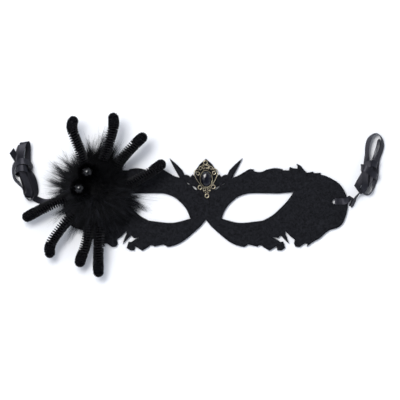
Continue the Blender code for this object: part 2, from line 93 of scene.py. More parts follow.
# Each point is its place in millimetres and the direction across the ribbon there
RIGHT_TIE = (
    ((103.4, 2.9, 1.0), (0, 1, 0)), ((103.2, 2.9, 3.05), (0, 1, 0)), ((106.6, 2.8, 3.05), (0, 1, 0)),
    ((110.2, 2.9, 3.3), (0, 1, 0.1)), ((113.4, 4.2, 4.9), (-0.3, 0.8, 0.5)),
    ((115.9, 6.4, 5.6), (-0.5, 0.4, 0.8)), ((117.4, 4.6, 4.4), (-0.4, 0.1, 0.9)),
    ((116.4, 1.6, 3.3), (-0.35, 0.1, 0.93)), ((115.3, -0.7, 3.0), (-0.3, 0.2, 0.93)),
    ((116.3, -0.9, 3.0), (-0.35, 0.25, 0.9)), ((118.0, 2.4, 3.0), (-0.4, 0.25, 0.88)),
    ((119.9, 6.3, 3.2), (-0.3, 0.2, 0.93)), ((123.5, 10.9, 3.8), (-0.1, 0, 1)),
    ((126.2, 16.2, 2.8), (0.6, -0.2, 0.7)), ((127.6, 22.4, 2.0), (1, -0.1, 0.3)),
    ((128.2, 28.6, 2.4), (1, 0, 0.1)), ((128.3, 34.6, 3.0), (0.8, 0, 0.5)),
    ((128.5, 40.4, 3.2), (0.6, 0, 0.8)), ((128.8, 46.2, 3.2), (0.6, -0.1, 0.8)),
    ((130.1, 51.6, 3.3), (0.5, -0.4, 0.8)), ((132.9, 56.0, 3.2), (0.1, -0.2, 1)),
    ((136.9, 57.2, 3.0), (0, -0.1, 1)), ((140.2, 54.0, 3.0), (-0.2, -0.1, 1)),
    ((141.1, 48.8, 3.2), (-0.6, 0.1, 0.8)), ((139.8, 43.4, 3.3), (-0.7, 0.2, 0.7)),
    ((137.7, 38.2, 3.4), (-0.7, 0.3, 0.6)), ((136.2, 33.0, 3.4), (-0.9, 0.2, 0.4)),
    ((135.8, 27.6, 3.0), (-0.95, 0, 0.3)), ((135.4, 22.2, 2.8), (-0.9, 0.1, 0.4)),
    ((134.7, 16.8, 2.8), (-0.6, 0.1, 0.8)), ((133.2, 11.6, 2.9), (-0.2, 0.1, 0.97)),
    ((130.2, 8.4, 2.9), (-0.05, 0.2, 0.98)), ((126.6, 8.9, 3.0), (0.1, 0.2, 0.97)),
    ((125.4, 12.4, 3.4), (0.4, 0, 0.9)), ((128.6, 16.6, 4.4), (0.8, -0.3, 0.5)),
    ((131.4, 22.0, 4.9), (1, -0.1, 0.2)), ((132.6, 28.0, 4.9), (0.9, 0, 0.3)),
    ((133.0, 34.4, 4.5), (0.4, 0, 0.9)), ((134.3, 40.8, 3.8), (0, 0, 1)), ((136.0, 46.4, 3.4), (0, 0, 1)),
    ((137.2, 51.4, 3.1), (0, 0, 1)), ((138.9, 52.6, 3.0), (0, 0, 1)), ((139.3, 49.0, 3.2), (0, 0, 1)),
    ((138.1, 43.6, 3.6), (-0.1, 0, 1)), ((136.2, 38.2, 4.4), (-0.3, 0.1, 0.9)),
    ((133.6, 33.2, 5.8), (-0.6, 0.3, 0.7)), ((130.4, 29.2, 6.8), (-0.9, 0.5, 0.2)),
    ((126.6, 24.9, 6.8), (-0.9, 0.5, 0)), ((123.5, 19.9, 6.4), (-0.85, 0.5, 0)),
    ((121.2, 15.4, 5.8), (-0.8, 0.7, 0.1)), ((120.7, 12.4, 4.6), (-0.6, 0.8, 0.1)),
    ((122.9, 11.4, 4.4), (-0.5, 0.9, 0)), ((125.6, 12.4, 6.2), (-0.8, 0.7, 0.1)),
    ((126.9, 16.4, 7.6), (-1, 0.3, 0)), ((127.1, 21.6, 7.9), (-1, 0, 0)),
    ((127.3, 27.2, 7.8), (-1, 0.1, 0)), ((128.9, 32.0, 8.0), (-0.6, 0.8, 0)),
    ((132.8, 33.4, 8.0), (0, 1, 0.1)), ((136.6, 32.0, 5.8), (0.2, 0.9, 0.4)),
    ((135.8, 30.4, 1.6), (0.1, 1, 0)), ((131.0, 29.8, 0.5), (0, 1, 0)), ((125.8, 29.8, 1.4), (0, 1, 0)),
    ((123.9, 30.2, 5.0), (0, 1, 0)), ((126.4, 29.6, 8.6), (0.4, 0.9, 0)),
    ((130.6, 26.8, 9.2), (0.6, 0.8, 0)), ((135.0, 23.6, 7.6), (0.5, 0.8, 0)),
    ((136.8, 22.4, 4.4), (0.2, 0.9, 0)), ((133.6, 23.4, 1.0), (-0.1, 1, 0)),
    ((128.6, 24.8, 0.5), (-0.2, 1, 0)), ((124.4, 26.2, 1.4), (-0.2, 1, 0)),
)
LEFT_TIE = (
    ((-103.4, 2.9, 1.0), (0, 1, 0)), ((-103.2, 2.9, 3.05), (0, 1, 0)), ((-108.0, 3.0, 3.05), (0, 1, 0)),
    ((-113.6, 3.2, 3.05), (0, 1, 0)), ((-119.0, 3.4, 2.4), (0, 1, 0)), ((-124.0, 2.6, 1.5), (0, 1, 0)),
    ((-129.0, 2.4, 1.2), (0, 1, 0)), ((-134.0, 4.0, 1.5), (0.2, 1, 0)),
    ((-137.5, 6.3, 2.2), (0.4, 0.9, 0.1)), ((-139.8, 10.6, 2.2), (0.8, 0.5, 0.3)),
    ((-140.8, 16.0, 2.2), (0.9, 0.1, 0.4)), ((-141.6, 22.0, 2.4), (0.9, 0.1, 0.4)),
    ((-142.0, 28.2, 2.6), (0.9, 0, 0.4)), ((-142.4, 34.4, 2.6), (0.95, 0, 0.3)),
    ((-142.4, 40.4, 2.8), (0.9, 0, 0.4)), ((-142.2, 46.0, 3.4), (0.85, 0.1, 0.5)),
    ((-143.2, 49.9, 5.0), (0.9, 0.1, 0.3)), ((-145.6, 49.6, 7.4), (1, 0.2, 0.1)),
    ((-147.0, 44.8, 8.2), (1, 0.2, 0)), ((-148.0, 39.4, 8.0), (1, 0.1, 0)),
    ((-148.2, 33.8, 7.0), (1, 0, 0)), ((-147.2, 28.0, 6.4), (0.85, 0.3, -0.35)),
    ((-145.2, 22.4, 6.4), (0.8, 0.35, -0.5)), ((-142.8, 17.0, 6.4), (0.8, 0.35, -0.5)),
    ((-141.2, 11.6, 6.2), (0.85, 0.2, -0.4)), ((-141.4, 7.4, 5.2), (1, 0, 0)),
    ((-142.2, 6.4, 3.2), (1, -0.1, 0)), ((-142.9, 9.6, 1.4), (1, -0.1, 0)),
    ((-144.2, 15.2, 1.2), (1, 0.2, 0)), ((-146.0, 21.0, 1.6), (1, 0.3, 0)),
    ((-147.6, 27.0, 2.6), (0.9, 0.3, 0.2)), ((-149.0, 33.0, 3.4), (1, 0.1, 0.1)),
    ((-150.2, 39.0, 3.4), (0.8, 0.1, 0.5)), ((-150.6, 44.6, 3.2), (0.4, 0.1, 0.9)),
    ((-149.6, 48.0, 3.0), (0.1, -0.1, 1)), ((-148.2, 45.0, 2.9), (0.1, 0.1, 1)),
    ((-147.0, 39.0, 2.8), (0.2, 0, 0.95)), ((-145.8, 33.4, 3.4), (0.3, 0, 0.9)),
    ((-143.6, 29.0, 5.0), (0.1, -0.1, 0.95)), ((-140.4, 26.0, 5.2), (-0.5, -0.3, 0.8)),
    ((-138.4, 22.4, 4.8), (-0.8, -0.3, 0.5)), ((-137.0, 18.0, 4.2), (-0.85, -0.2, 0.4)),
    ((-136.1, 13.2, 3.6), (-0.8, -0.1, 0.5)), ((-135.6, 8.8, 3.0), (-0.6, 0, 0.8)),
    ((-137.6, 5.2, 2.9), (-0.2, 0.1, 1)), ((-141.9, 4.0, 2.9), (0, 0.1, 1)),
    ((-145.3, 8.0, 2.9), (0.05, 0, 1)), ((-146.6, 13.0, 2.9), (0.12, 0.05, 1)),
    ((-149.4, 17.0, 2.9), (0.3, 0.3, 0.9)), ((-152.9, 21.0, 3.1), (0.35, 0.3, 0.9)),
    ((-154.2, 26.4, 3.8), (0.35, 0.1, 0.9)), ((-153.0, 31.6, 5.4), (0.5, -0.2, 0.8)),
    ((-149.6, 34.6, 8.2), (0.4, -0.8, 0.5)), ((-145.4, 35.2, 9.2), (0, -0.9, 0.3)),
    ((-141.4, 33.8, 8.0), (-0.3, -0.7, 0.7)), ((-138.9, 30.4, 5.4), (-0.3, -0.2, 0.9)),
    ((-139.2, 26.4, 3.4), (0.1, -0.3, 0.9)), ((-142.6, 24.2, 0.8), (0.2, -0.9, 0.2)),
    ((-148.0, 24.8, 0.6), (0, -1, 0)), ((-151.8, 26.8, 3.4), (-0.1, -1, 0)),
    ((-150.4, 29.0, 7.6), (0, -1, 0)), ((-145.6, 29.6, 9.0), (0.1, -1, 0)),
    ((-141.8, 28.4, 7.0), (0.2, -0.9, 0)), ((-140.6, 29.4, 3.0), (0.2, -0.9, 0)),
    ((-144.2, 31.6, 0.8), (-0.1, -1, 0)), ((-149.2, 34.4, 1.0), (-0.6, -0.8, 0)),
    ((-152.6, 38.9, 2.4), (-0.75, -0.65, 0)), ((-155.3, 43.4, 4.0), (-0.6, -0.8, 0)),
)


class Output:
    """What comes out of a node. It stands in sums like a number or a vector, and each sum adds a node."""

    def __init__(self, socket):
        self.socket = socket
        self.node = socket.node
        self.tree = socket.id_data

    def __getitem__(self, name):
        return Output(self.node.outputs[name])

    def __add__(self, other):
        return maths("ADD", self, other)

    def __sub__(self, other):
        return maths("SUBTRACT", self, other)

    def __rsub__(self, other):
        return maths("SUBTRACT", other, self)

    def __mul__(self, other):
        return maths("MULTIPLY", self, other)

    def __truediv__(self, other):
        return maths("DIVIDE", self, other)

    def __rtruediv__(self, other):
        return maths("DIVIDE", other, self)


def set_inputs(node, values):
    """Sets a node's inputs, by name or number, to plain values or links them to outputs."""
    for place, value in values.items():
        socket = node.inputs[place.replace("_", " ") if isinstance(place, str) else place]
        if isinstance(value, Output):
            node.id_data.links.new(value.socket, socket)
        else:
            socket.default_value = value


def add_node(tree, kind, *values, **named):
    """The first output of a new node. A name in small letters is a setting, and any other is an input."""
    node = tree.nodes.new(kind)
    for name in [name for name in named if name.islower()]:
        setattr(node, name, named.pop(name))
    set_inputs(node, {**dict(enumerate(values)), **named})
    return Output(node.outputs[0]) if node.outputs else None


def is_vector(value):
    """Whether a plain value or an output is a vector or a colour."""
    if isinstance(value, Output):
        return value.socket.type in ("VECTOR", "RGBA")
    return isinstance(value, (tuple, Vector))


def maths(operation, *values):
    """The result of a Math node, or of a Vector Math node where one of the values is a vector."""
    tree = next(value.tree for value in values if isinstance(value, Output))
    if not any(is_vector(value) for value in values):
        return add_node(tree, "ShaderNodeMath", *values, operation=operation)
    if operation == "MULTIPLY" and not is_vector(values[1]):
        return add_node(tree, "ShaderNodeVectorMath", values[0], Scale=values[1], operation="SCALE")
    made = add_node(tree, "ShaderNodeVectorMath", *values, operation=operation)
    return made["Value"] if operation in ("LENGTH", "DOT_PRODUCT") else made


def parts(vector):
    """The three numbers in a vector."""
    split = add_node(vector.tree, "ShaderNodeSeparateXYZ", vector)
    return split, split["Y"], split["Z"]


def new_material(name, **values):
    """A material with its Principled BSDF, whose inputs are set by name with _ for each space."""
    material = bpy.data.materials.new(name)
    material.use_nodes = True
    shader = material.node_tree.nodes["Principled BSDF"]
    set_inputs(shader, values)
    return material, material.node_tree, shader


def two_colours(factor, low, high, start, end):
    """A colour that goes from low to high as the factor goes from start to end."""
    colour = add_node(factor.tree, "ShaderNodeValToRGB", factor)
    first, last = colour.node.color_ramp.elements
    first.position, last.position = start, end
    first.color, last.color = (*low, 1), (*high, 1)
    return colour


def speckle(tree, scale, detail, distortion=0.0):
    """Fine noise that is fixed in the piece."""
    place = add_node(tree, "ShaderNodeTexCoord")["Object"]
    return add_node(tree, "ShaderNodeTexNoise", place, Scale=scale, Detail=detail, Distortion=distortion)


def smooth_through(points, samples):
    """A smooth curve through the points, with so many samples from each point to the next."""
    points = [Vector(p) for p in points]
    made = []
    for i in range(len(points) - 1):
        b, c = points[i], points[i + 1]
        a = points[i - 1] if i else 2 * b - c
        d = points[i + 2] if i + 2 < len(points) else 2 * c - b
        for k in range(samples):
            t = k / samples
            bend = (2 * a - 5 * b + 4 * c - d) * t**2 + (3 * b - a - 3 * c + d) * t**3
            made.append(0.5 * (2 * b + (c - a) * t + bend))
    made.append(points[-1])
    return made


def to_mesh(bm, name, sharp=None):
    """A mesh of what is in bm, smooth between its sharp edges where an angle is given."""
    mesh = bpy.data.meshes.new(name)
    bm.to_mesh(mesh)
    bm.free()
    if sharp:
        mesh.shade_smooth()
        mesh.set_sharp_from_angle(angle=sharp)
    return mesh


def add_piece(name, mesh, slot, *nodes, material=None):
    """A finished piece in the place of CAD nodes. The whole mask is one body."""
    if material:
        mesh.materials.append(material)
    piece = add_object(name, mesh)
    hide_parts(*nodes)
    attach(piece, "root")
    return piece


def make_satin():
    """Black satin, which shines across the threads that run along it. Its woven edge is duller."""
    satin, tree, shader = new_material(
        "black satin",
        Roughness=0.5,
        Anisotropic=0.85,
        Anisotropic_Rotation=0.25,
        Specular_IOR_Level=0.55,
        Specular_Tint=(0.88, 0.86, 1.0, 1),
        Sheen_Weight=0.02,
        Sheen_Roughness=0.35,
        Sheen_Tint=(0.72, 0.74, 0.95, 1),
    )
    lengthwise = add_node(tree, "ShaderNodeTangent", direction_type="UV_MAP", uv_map="millimetres")
    uv = add_node(tree, "ShaderNodeUVMap", uv_map="millimetres")
    threads = add_node(tree, "ShaderNodeMapping", uv, Scale=THREAD_FINENESS)
    threads = add_node(tree, "ShaderNodeTexNoise", threads, Scale=1.0, Detail=4.0)
    side = maths("ABSOLUTE", parts(uv)[1])
    edge = add_node(tree, "ShaderNodeMapRange", side, From_Min=WOVEN_EDGE[0], From_Max=WOVEN_EDGE[1])
    face = two_colours(threads, *SATIN_COLOURS, start=0.35, end=0.7)
    colour = add_node(tree, "ShaderNodeMixRGB", edge, face, EDGE_COLOUR)
    bump = add_node(tree, "ShaderNodeBump", Height=edge + threads, Strength=0.15, Distance=0.05 * MM)
    set_inputs(shader, {"Base Color": colour, "Normal": bump, "Tangent": lengthwise})
    return satin


def make_ribbon(name, tie, *nodes):
    """A flat ribbon along its points. A UV map holds the millimetres along it and across it."""
    places = smooth_through([Vector(place) * MM for place, _ in tie], RIBBON_SAMPLES)
    acrosses = smooth_through([across for _, across in tie], RIBBON_SAMPLES)
    bm = bmesh.new()
    uv = bm.loops.layers.uv.new("millimetres")
    rings, run = [], 0.0
    for i, (place, across) in enumerate(zip(places, acrosses)):
        before, after = places[max(i - 1, 0)], places[min(i + 1, len(places) - 1)]
        along = (after - before).normalized()
        across = across.normalized()
        slant = (across - along * across.dot(along)).length
        reach = across * RIBBON_WIDTH / 2 / max(slant, 1 / FOLD_WIDENING)
        up = along.cross(across).normalized()
        run += (place - before).length
        ring = []
        for lift, order in ((1, FACE_PLACES), (-1, FACE_PLACES[::-1])):
            for share in order:
                height = RIBBON_CURL * RIBBON_WIDTH * share**2 + lift * RIBBON_THICKNESS / 2
                ring.append((bm.verts.new(place + reach * share + up * height), share, run))
        rings.append(ring)
    count = len(rings[0])
    for ring, after in zip(rings, rings[1:]):
        for k in range(count):
            corners = ring[k], ring[(k + 1) % count], after[(k + 1) % count], after[k]
            face = bm.faces.new([corner[0] for corner in corners])
            for loop, (_, share, distance) in zip(face.loops, corners):
                loop[uv].uv = distance / MM, share * RIBBON_WIDTH / MM / 2
    for ring in (rings[0], rings[-1]):
        bm.faces.new([corner[0] for corner in ring])
    bmesh.ops.recalc_face_normals(bm, faces=bm.faces)
    ribbon = add_piece(name, to_mesh(bm, name, SHARP), "ribbon", *nodes, material=satin)


satin = make_satin()
make_ribbon("right_ribbon", RIGHT_TIE, "ribbon_lead_right", "ribbon_bundle_right")
make_ribbon("left_ribbon", LEFT_TIE, "ribbon_lead_left", "ribbon_bundle_left")

# Felt mask. One sheet of stiff black craft felt, cut to a feathered outline with almond eye holes, little
# slits beside the crest and a round hole for each ribbon. The cut edges are soft, and fine fibres stand out
# of them.
FELT_STEP = 0.8 * MM
FELT_THICKNESS = 2.5 * MM
# Right half of the outline in steps, from the top of the crest clockwise to the nose. Each run is
# (smooth, points): a smooth run is a curve through its points, the others are cut straight.
FELT_RUNS = (
    (True, ((0, 46.2), (2.9, 43.6), (6.1, 40.8), (8.1, 37.7))),
    (False, ((10.4, 35.0), (11.0, 31.5), (11.6, 28.8), (13.2, 30.7), (15.5, 28.1))),
    (True, ((17.4, 29.6), (19.5, 30.3), (21.3, 30.0))),
    (True, ((23.7, 35.0), (29.5, 40.8), (36.5, 46.8))),
    (True, ((36.5, 46.8), (31.8, 37.2), (26.2, 27.2))),
    (True, ((26.2, 27.2), (31.8, 29.2), (39.1, 33.4), (43.2, 35.7), (47.8, 35.7))),
    (True, ((47.4, 34.3), (51.5, 33.0), (56.5, 33.4), (61.5, 35.6), (68.9, 36.9), (76.4, 35.9))),
    (False, ((76.8, 34.7), (83.0, 34.7), (83.9, 38.0), (87.2, 36.8))),
    (False, ((91.3, 36.3), (91.7, 38.4), (90.5, 41.3))),
    (True, ((90.5, 41.3), (94.6, 39.2), (97.9, 35.1), (101.3, 32.2))),
    (False, ((107.1, 33.4), (107.1, 31.8), (114.5, 32.2), (114.9, 30.5))),
    (True, ((114.9, 30.5), (121.2, 28.5), (127.8, 25.1), (133.6, 21.0), (138.0, 15.0))),
    (True, ((138.0, 15.0), (140.9, 8.0), (141.8, 1.2), (141.5, -4.0), (140.2, -10.0))),
    (True, ((140.2, -10.0), (136.9, -18.0), (131.9, -22.5), (123.7, -25.0))),
    (True, ((123.7, -25.0), (118.7, -28.7), (113.7, -33.3), (107.1, -37.0), (100.9, -41.6))),
    (False, ((101.7, -38.7), (98.8, -38.3), (93.8, -42.0), (89.7, -41.6), (88.0, -38.7), (88.8, -34.6))),
    (True, ((88.8, -34.6), (83.9, -30.8), (79.3, -25.8))),
    (True, ((79.3, -28.7), (81.4, -33.7), (83.0, -38.7))),
    (False, ((80.5, -36.2), (77.2, -32.9), (74.7, -30.4), (72.2, -32.9), (65.6, -31.9))),
    (False, ((70.6, -34.1), (74.7, -37.0), (77.2, -36.6), (79.3, -42.8))),
    (False, ((75.6, -45.3), (71.4, -45.3), (70.6, -41.2))),
    (True, ((63.5, -45.7), (58.1, -42.4), (55.7, -40.4))),
    (False, ((52.8, -40.4), (51.5, -41.6), (42.4, -39.5), (38.2, -42.0), (34.1, -41.2))),
    (True, ((34.1, -41.2), (28.0, -39.2), (20.4, -34.6), (10.6, -26.2), (5.0, -21.0), (0, -14.7))),
)
# Right eye hole: from the inner corner over the top to the outer tip, and back along the bottom
EYE_RUNS = (
    (True, ((15.5, -13.6), (20.4, -3.0), (30.2, 6.8), (40.0, 11.0), (50.7, 11.8), (72.3, 11.4))),
    (False, ((87.6, 12.9),)),
    (True, ((87.6, 12.9), (82.1, 5.0), (75.1, -2.5), (66.7, -10.1), (57.0, -15.6))),
    (True, ((57.0, -15.6), (34.1, -17.8), (15.5, -13.6))),
)
# Slits beside the crest, as corners in steps, and the ribbon hole's middle and radius
SLITS = (
    ((8.6, 15.0), (10.2, 17.5), (12.2, 18.8), (14.0, 19.3), (12.6, 17.3), (10.8, 15.8)),
    ((16.4, 20.6), (17.1, 21.7), (18.2, 22.2), (19.2, 22.3), (18.5, 21.2), (17.5, 20.7)),
)
RIBBON_HOLE = (128.6, 3.4, 2.5)
HOLE_SIDES = 32
CUT_SAMPLES = 7
SAME_POINT = 0.01
FELT_CELL = 1.5 * MM
# How soft the cut edges are, and how uneven the face is
FELT_ROUNDING = 0.4 * MM
FELT_NAP = 0.1 * MM
NAP_SIZE = 2.6 * MM
FELT_COLOURS = (0.0018, 0.0018, 0.0026), (0.018, 0.0185, 0.0225)
FLAT_CORNER = math.radians(0.5)
SHARP_FELT = math.radians(70)
# A face whose normal rises less than this belongs to a cut edge
CUT_SLOPE = 0.5
# Fibres on the cut edges: how many, the length of the longest, how far one may differ from a middle one as a
# share of that, the radius of one at its foot, how far they slant and rise, and how far the normals rise of
# the faces that they stand on
EDGE_FIBRES = 3000
FIBRE_LENGTH = 1.0 * MM
FIBRE_VARIETY = 0.35
FIBRE_RADIUS = 0.035 * MM
FIBRE_SLANT = (0.8, 0.8, 0.45)
FIBRE_RISE = (0, 0, 0.4)
CUT_FACES = (-0.05, 0.3)


def round_turns(count, start=0.0):
    """Angles in even steps, once all round."""
    return [2 * math.pi * (k + start) / count for k in range(count)]


def runs_to_outline(runs):
    """One closed outline from its runs, without the points that two runs share."""
    outline = []
    for smooth, points in runs:
        points = [Vector((*p, 0)) for p in points]
        for point in smooth_through(points, CUT_SAMPLES) if smooth else points:
            if not outline or (point - outline[-1]).length > SAME_POINT:
                outline.append(point)
    if (outline[0] - outline[-1]).length < SAME_POINT:
        outline.pop()
    return outline


def slice_in_cells(bm, low, high, cell):
    """Cuts every face along a grid of upright planes, so that it has a corner in each cell."""
    for axis in (0, 1):
        normal = Vector((axis == 0, axis == 1, 0))
        for k in range(1, math.ceil((high[axis] - low[axis]) / cell)):
            cut = bm.verts[:] + bm.edges[:] + bm.faces[:]
            bmesh.ops.bisect_plane(bm, geom=cut, dist=1e-7, plane_co=low + normal * k * cell, plane_no=normal)


def new_tree(name, **inputs):
    """A Geometry Nodes tree and its inputs: the geometry, each size by its name, and the material."""
    tree = bpy.data.node_groups.new(name, "GeometryNodeTree")
    tree.interface.new_socket("Geometry", in_out="OUTPUT", socket_type="NodeSocketGeometry")
    kinds = {float: "NodeSocketFloat", int: "NodeSocketInt", Vector: "NodeSocketVector"}
    inputs = {"Geometry": "NodeSocketGeometry", **inputs, "Material": "NodeSocketMaterial"}
    for label, value in inputs.items():
        kind = kinds.get(type(value), value)
        socket = tree.interface.new_socket(label.replace("_", " "), in_out="INPUT", socket_type=kind)
        if kind != value:
            socket.default_value = value
    return tree, add_node(tree, "NodeGroupInput")


def end_tree(geometry, given):
    """Ends a tree with plain geometry in its material."""
    tree = geometry.tree
    geometry = add_node(tree, "GeometryNodeRealizeInstances", geometry)
    geometry = add_node(tree, "GeometryNodeSetMaterial", geometry, Material=given["Material"])
    add_node(tree, "NodeGroupOutput", geometry)
    return tree


def run_tree(mesh, tree, **inputs):
    """The plain mesh that the tree makes of a mesh."""
    obj = add_object(tree.name, mesh)
    modifier = obj.modifiers.new(tree.name, "NODES")
    modifier.node_group = tree
    for item in tree.interface.items_tree:
        label = item.name.replace(" ", "_")
        if item.in_out == "INPUT" and label in inputs:
            modifier[item.identifier] = inputs[label]
    graph = bpy.context.evaluated_depsgraph_get()
    made = bpy.data.meshes.new_from_object(obj.evaluated_get(graph), depsgraph=graph)
    bpy.data.objects.remove(obj)
    return made


def random_vector(seed):
    """A random vector for each point, each part of it from -1 to 1."""
    kind = "FunctionNodeRandomValue"
    return add_node(seed.tree, kind, (-1, -1, -1), (1, 1, 1), Seed=seed, data_type="FLOAT_VECTOR")


def scatter(given):
    """Random points on the given faces."""
    return add_node(
        given.tree,
        "GeometryNodeDistributePointsOnFaces",
        given["Geometry"],
        Density=given["Density"],
        Seed=given["Seed"],
        distribute_method="RANDOM",
    )


def add_spikes(points, way, radius, length, end=0.0):
    """A fine three-sided spike on each point. Its end is given as a share of its radius."""
    tree = points.tree
    spike = add_node(tree, "GeometryNodeMeshCone", 3, Radius_Top=end, Radius_Bottom=1.0, Depth=1.0)
    aim = add_node(tree, "FunctionNodeAlignEulerToVector", Vector=way, axis="Z")
    size = add_node(tree, "ShaderNodeCombineXYZ", radius, radius, length)
    return add_node(tree, "GeometryNodeInstanceOnPoints", points, Instance=spike, Rotation=aim, Scale=size)


def make_fibre_tree():
    """Fine fibres that stand out of a cut edge, each at its own slant."""
    _, given = new_tree("edge fibres", Density=1.0, Length=FIBRE_LENGTH, Radius=FIBRE_RADIUS, Seed=5)
    points = scatter(given)
    chance = random_vector(given["Seed"])
    way = points["Normal"] + (chance * FIBRE_SLANT + FIBRE_RISE)
    length = (parts(chance)[0] * FIBRE_VARIETY + (1 - FIBRE_VARIETY)) * given["Length"]
    return end_tree(add_spikes(points, way, given["Radius"], length), given)


def make_felt_material():
    """Black felt: matted fibres mottle its colour and its surface."""
    felt, tree, shader = new_material("black felt", Roughness=0.95, Specular_IOR_Level=0.15)
    mottle = speckle(tree, scale=450.0, detail=3.0, distortion=1.0)
    fibres = speckle(tree, scale=1800.0, detail=4.0, distortion=3.0)
    both = add_node(tree, "ShaderNodeMixRGB", Fac=0.5, Color1=mottle, Color2=fibres)
    bump = add_node(tree, "ShaderNodeBump", Height=both, Strength=1.0, Distance=0.5 * MM)
    set_inputs(shader, {"Base Color": two_colours(both, *FELT_COLOURS, start=0.38, end=0.68), "Normal": bump})
    return felt


half = runs_to_outline(FELT_RUNS)
outlines = [half + [Vector((-p.x, p.y)) for p in reversed(half) if abs(p.x) > SAME_POINT]]
x, y, radius = RIBBON_HOLE
hole = [Vector((x + radius * math.cos(t), y + radius * math.sin(t))) for t in round_turns(HOLE_SIDES)]
for cut in (runs_to_outline(EYE_RUNS), hole, *SLITS):
    outlines += [[(p[0] * side, p[1]) for p in cut] for side in (1, -1)]
curve = bpy.data.curves.new("felt", "CURVE")
curve.dimensions = "2D"
curve.fill_mode = "BOTH"
curve.extrude = FELT_THICKNESS / 2
for outline in outlines:
    spline = curve.splines.new("POLY")
    spline.points.add(len(outline) - 1)
    spline.use_cyclic_u = True
    for point, place in zip(spline.points, outline):
        point.co = (place[0] * FELT_STEP, place[1] * FELT_STEP, 0, 1)
flat = add_object("felt", curve)
bpy.context.view_layer.update()
mesh = bpy.data.meshes.new_from_object(flat.evaluated_get(bpy.context.evaluated_depsgraph_get()))
bpy.data.objects.remove(flat)

bm = bmesh.new()
bm.from_mesh(mesh)
bmesh.ops.translate(bm, vec=(0, 0, FELT_THICKNESS / 2), verts=bm.verts)
bmesh.ops.remove_doubles(bm, verts=bm.verts, dist=0.001 * MM)
bmesh.ops.recalc_face_normals(bm, faces=bm.faces)
bmesh.ops.dissolve_limit(bm, angle_limit=FLAT_CORNER, verts=bm.verts, edges=bm.edges)
corners = [vert.co for vert in bm.verts]
low, high = (Vector(pick(co[k] for co in corners) for k in range(3)) for pick in (min, max))
felt_area = sum(face.calc_area() for face in bm.faces if face.normal.z > CUT_SLOPE)
slice_in_cells(bm, low, high, FELT_CELL)
bmesh.ops.triangulate(bm, faces=[face for face in bm.faces if len(face.verts) > 4])
for vert in bm.verts:
    on_edge = any(abs(face.normal.z) < CUT_SLOPE for face in vert.link_faces)
    if vert.co.z > FELT_THICKNESS / 2:
        vert.co.z += FELT_NAP * (noise.noise(vert.co / NAP_SIZE) - 1) - FELT_ROUNDING * on_edge
    elif on_edge:
        vert.co.z += FELT_ROUNDING
felt = make_felt_material()
mesh = to_mesh(bm.copy(), "felt_sheet", SHARP_FELT)
sheet = add_piece("felt_sheet", mesh, "felt", "felt_mask", material=felt)

bm.normal_update()
lying = [face for face in bm.faces if not CUT_FACES[0] < face.normal.z < CUT_FACES[1]]
bmesh.ops.delete(bm, geom=lying, context="FACES")
density = EDGE_FIBRES / sum(face.calc_area() for face in bm.faces)
mesh = run_tree(to_mesh(bm, "cut edge"), make_fibre_tree(), Density=density, Material=felt)
add_piece("felt_edge_fibres", mesh, "felt", "felt_mask")

# Fur. A tuft of long black fur, glued over the mask's left eye as the spider's body. Its hairs grow from a
# small base and lie outwards all round. Most hang in small locks, and a few longer locks stick out.
FUR_MIDDLE = Vector((-86.6 * MM, 10.0 * MM, 9 * MM))
FUR_BASE_AXES = Vector((19.5 * MM, 23 * MM, 18 * MM))
FUR_FLOOR = 2.9 * MM
BARE_RIM = 0.1 * MM
SPIDER_MIDDLE = Vector((-84.72 * MM, 9.6 * MM, 2.5 * MM))
LEG_STEP = 0.8 * MM
# Each leg from its root to its tip, in steps from the spider's middle, with the upper legs first
LEG_ROUTES = (
    ((-13.5, 20, 10), (-17, 34, 15), (-20, 44, 18), (-24.8, 56, 20), (-27.6, 66, 19), (-25.4, 74, 17)),
    ((-0.5, 21.5, 10), (4.5, 36, 16), (8.5, 47, 20), (12.2, 59, 22), (14.2, 68, 22), (13.6, 77.4, 20)),
    ((12, 16.5, 10), (20, 31, 16), (27, 39.5, 20), (34.5, 47.5, 22), (40, 52.8, 21), (44.3, 57, 19)),
    ((19, 3.5, 10), (30, 9, 14), (39, 13.8, 17), (47.8, 18.8, 18), (56.3, 24.7, 17), (63.2, 29.8, 14)),
    ((-20, -0.5, 11), (-34, -5.5, 14), (-45, -10, 15), (-55, -14.8, 14), (-65, -19.8, 11), (-74.6, -25, 8)),
    ((-18, -13, 10), (-31, -26.5, 14), (-40, -37.5, 15), (-46.8, -47, 13), (-50, -55, 11), (-49.3, -62.3, 9)),
    ((-10.5, -25, 9), (-11, -38, 13), (-13.3, -49, 14), (-16, -58, 13), (-18.8, -65, 10), (-20.2, -71.5, 8)),
    ((2, -22.5, 10), (0, -38, 14), (-0.8, -49, 15), (-1.2, -60, 14), (-1.5, -71, 11), (-1.3, -81.5, 9)),
)
UPPER_LEGS = 4
# Each coat: name, seed, hairs, points of a hair, length, size of a lock, how far a lock gathers its hairs,
# and the radius of a hair's root
FUR_COATS = (
    ("fur_undercoat", 1, 13900, 3, 9.2 * MM, 3.0 * MM, 0.7, 0.09 * MM),
    ("fur_long_hairs", 2, 9800, 4, 12.8 * MM, 3.4 * MM, 0.95, 0.065 * MM),
    ("fur_locks", 3, 1800, 4, 20.5 * MM, 3.6 * MM, 0.92, 0.065 * MM),
)
HAIR_TIP = 0.02 * MM
HAIR_SIDES = 3
HAIR_FLOOR = 2.45 * MM
# How much hairs and locks differ in length and how far they stray, and how far a hair leans out and droops
HAIR_VARIETY = 0.32
LOCK_VARIETY = 0.34
HAIR_STRAY = 0.08
LOCK_STRAY = 0.4
LEAN = 0.6
DROOP = 0.7
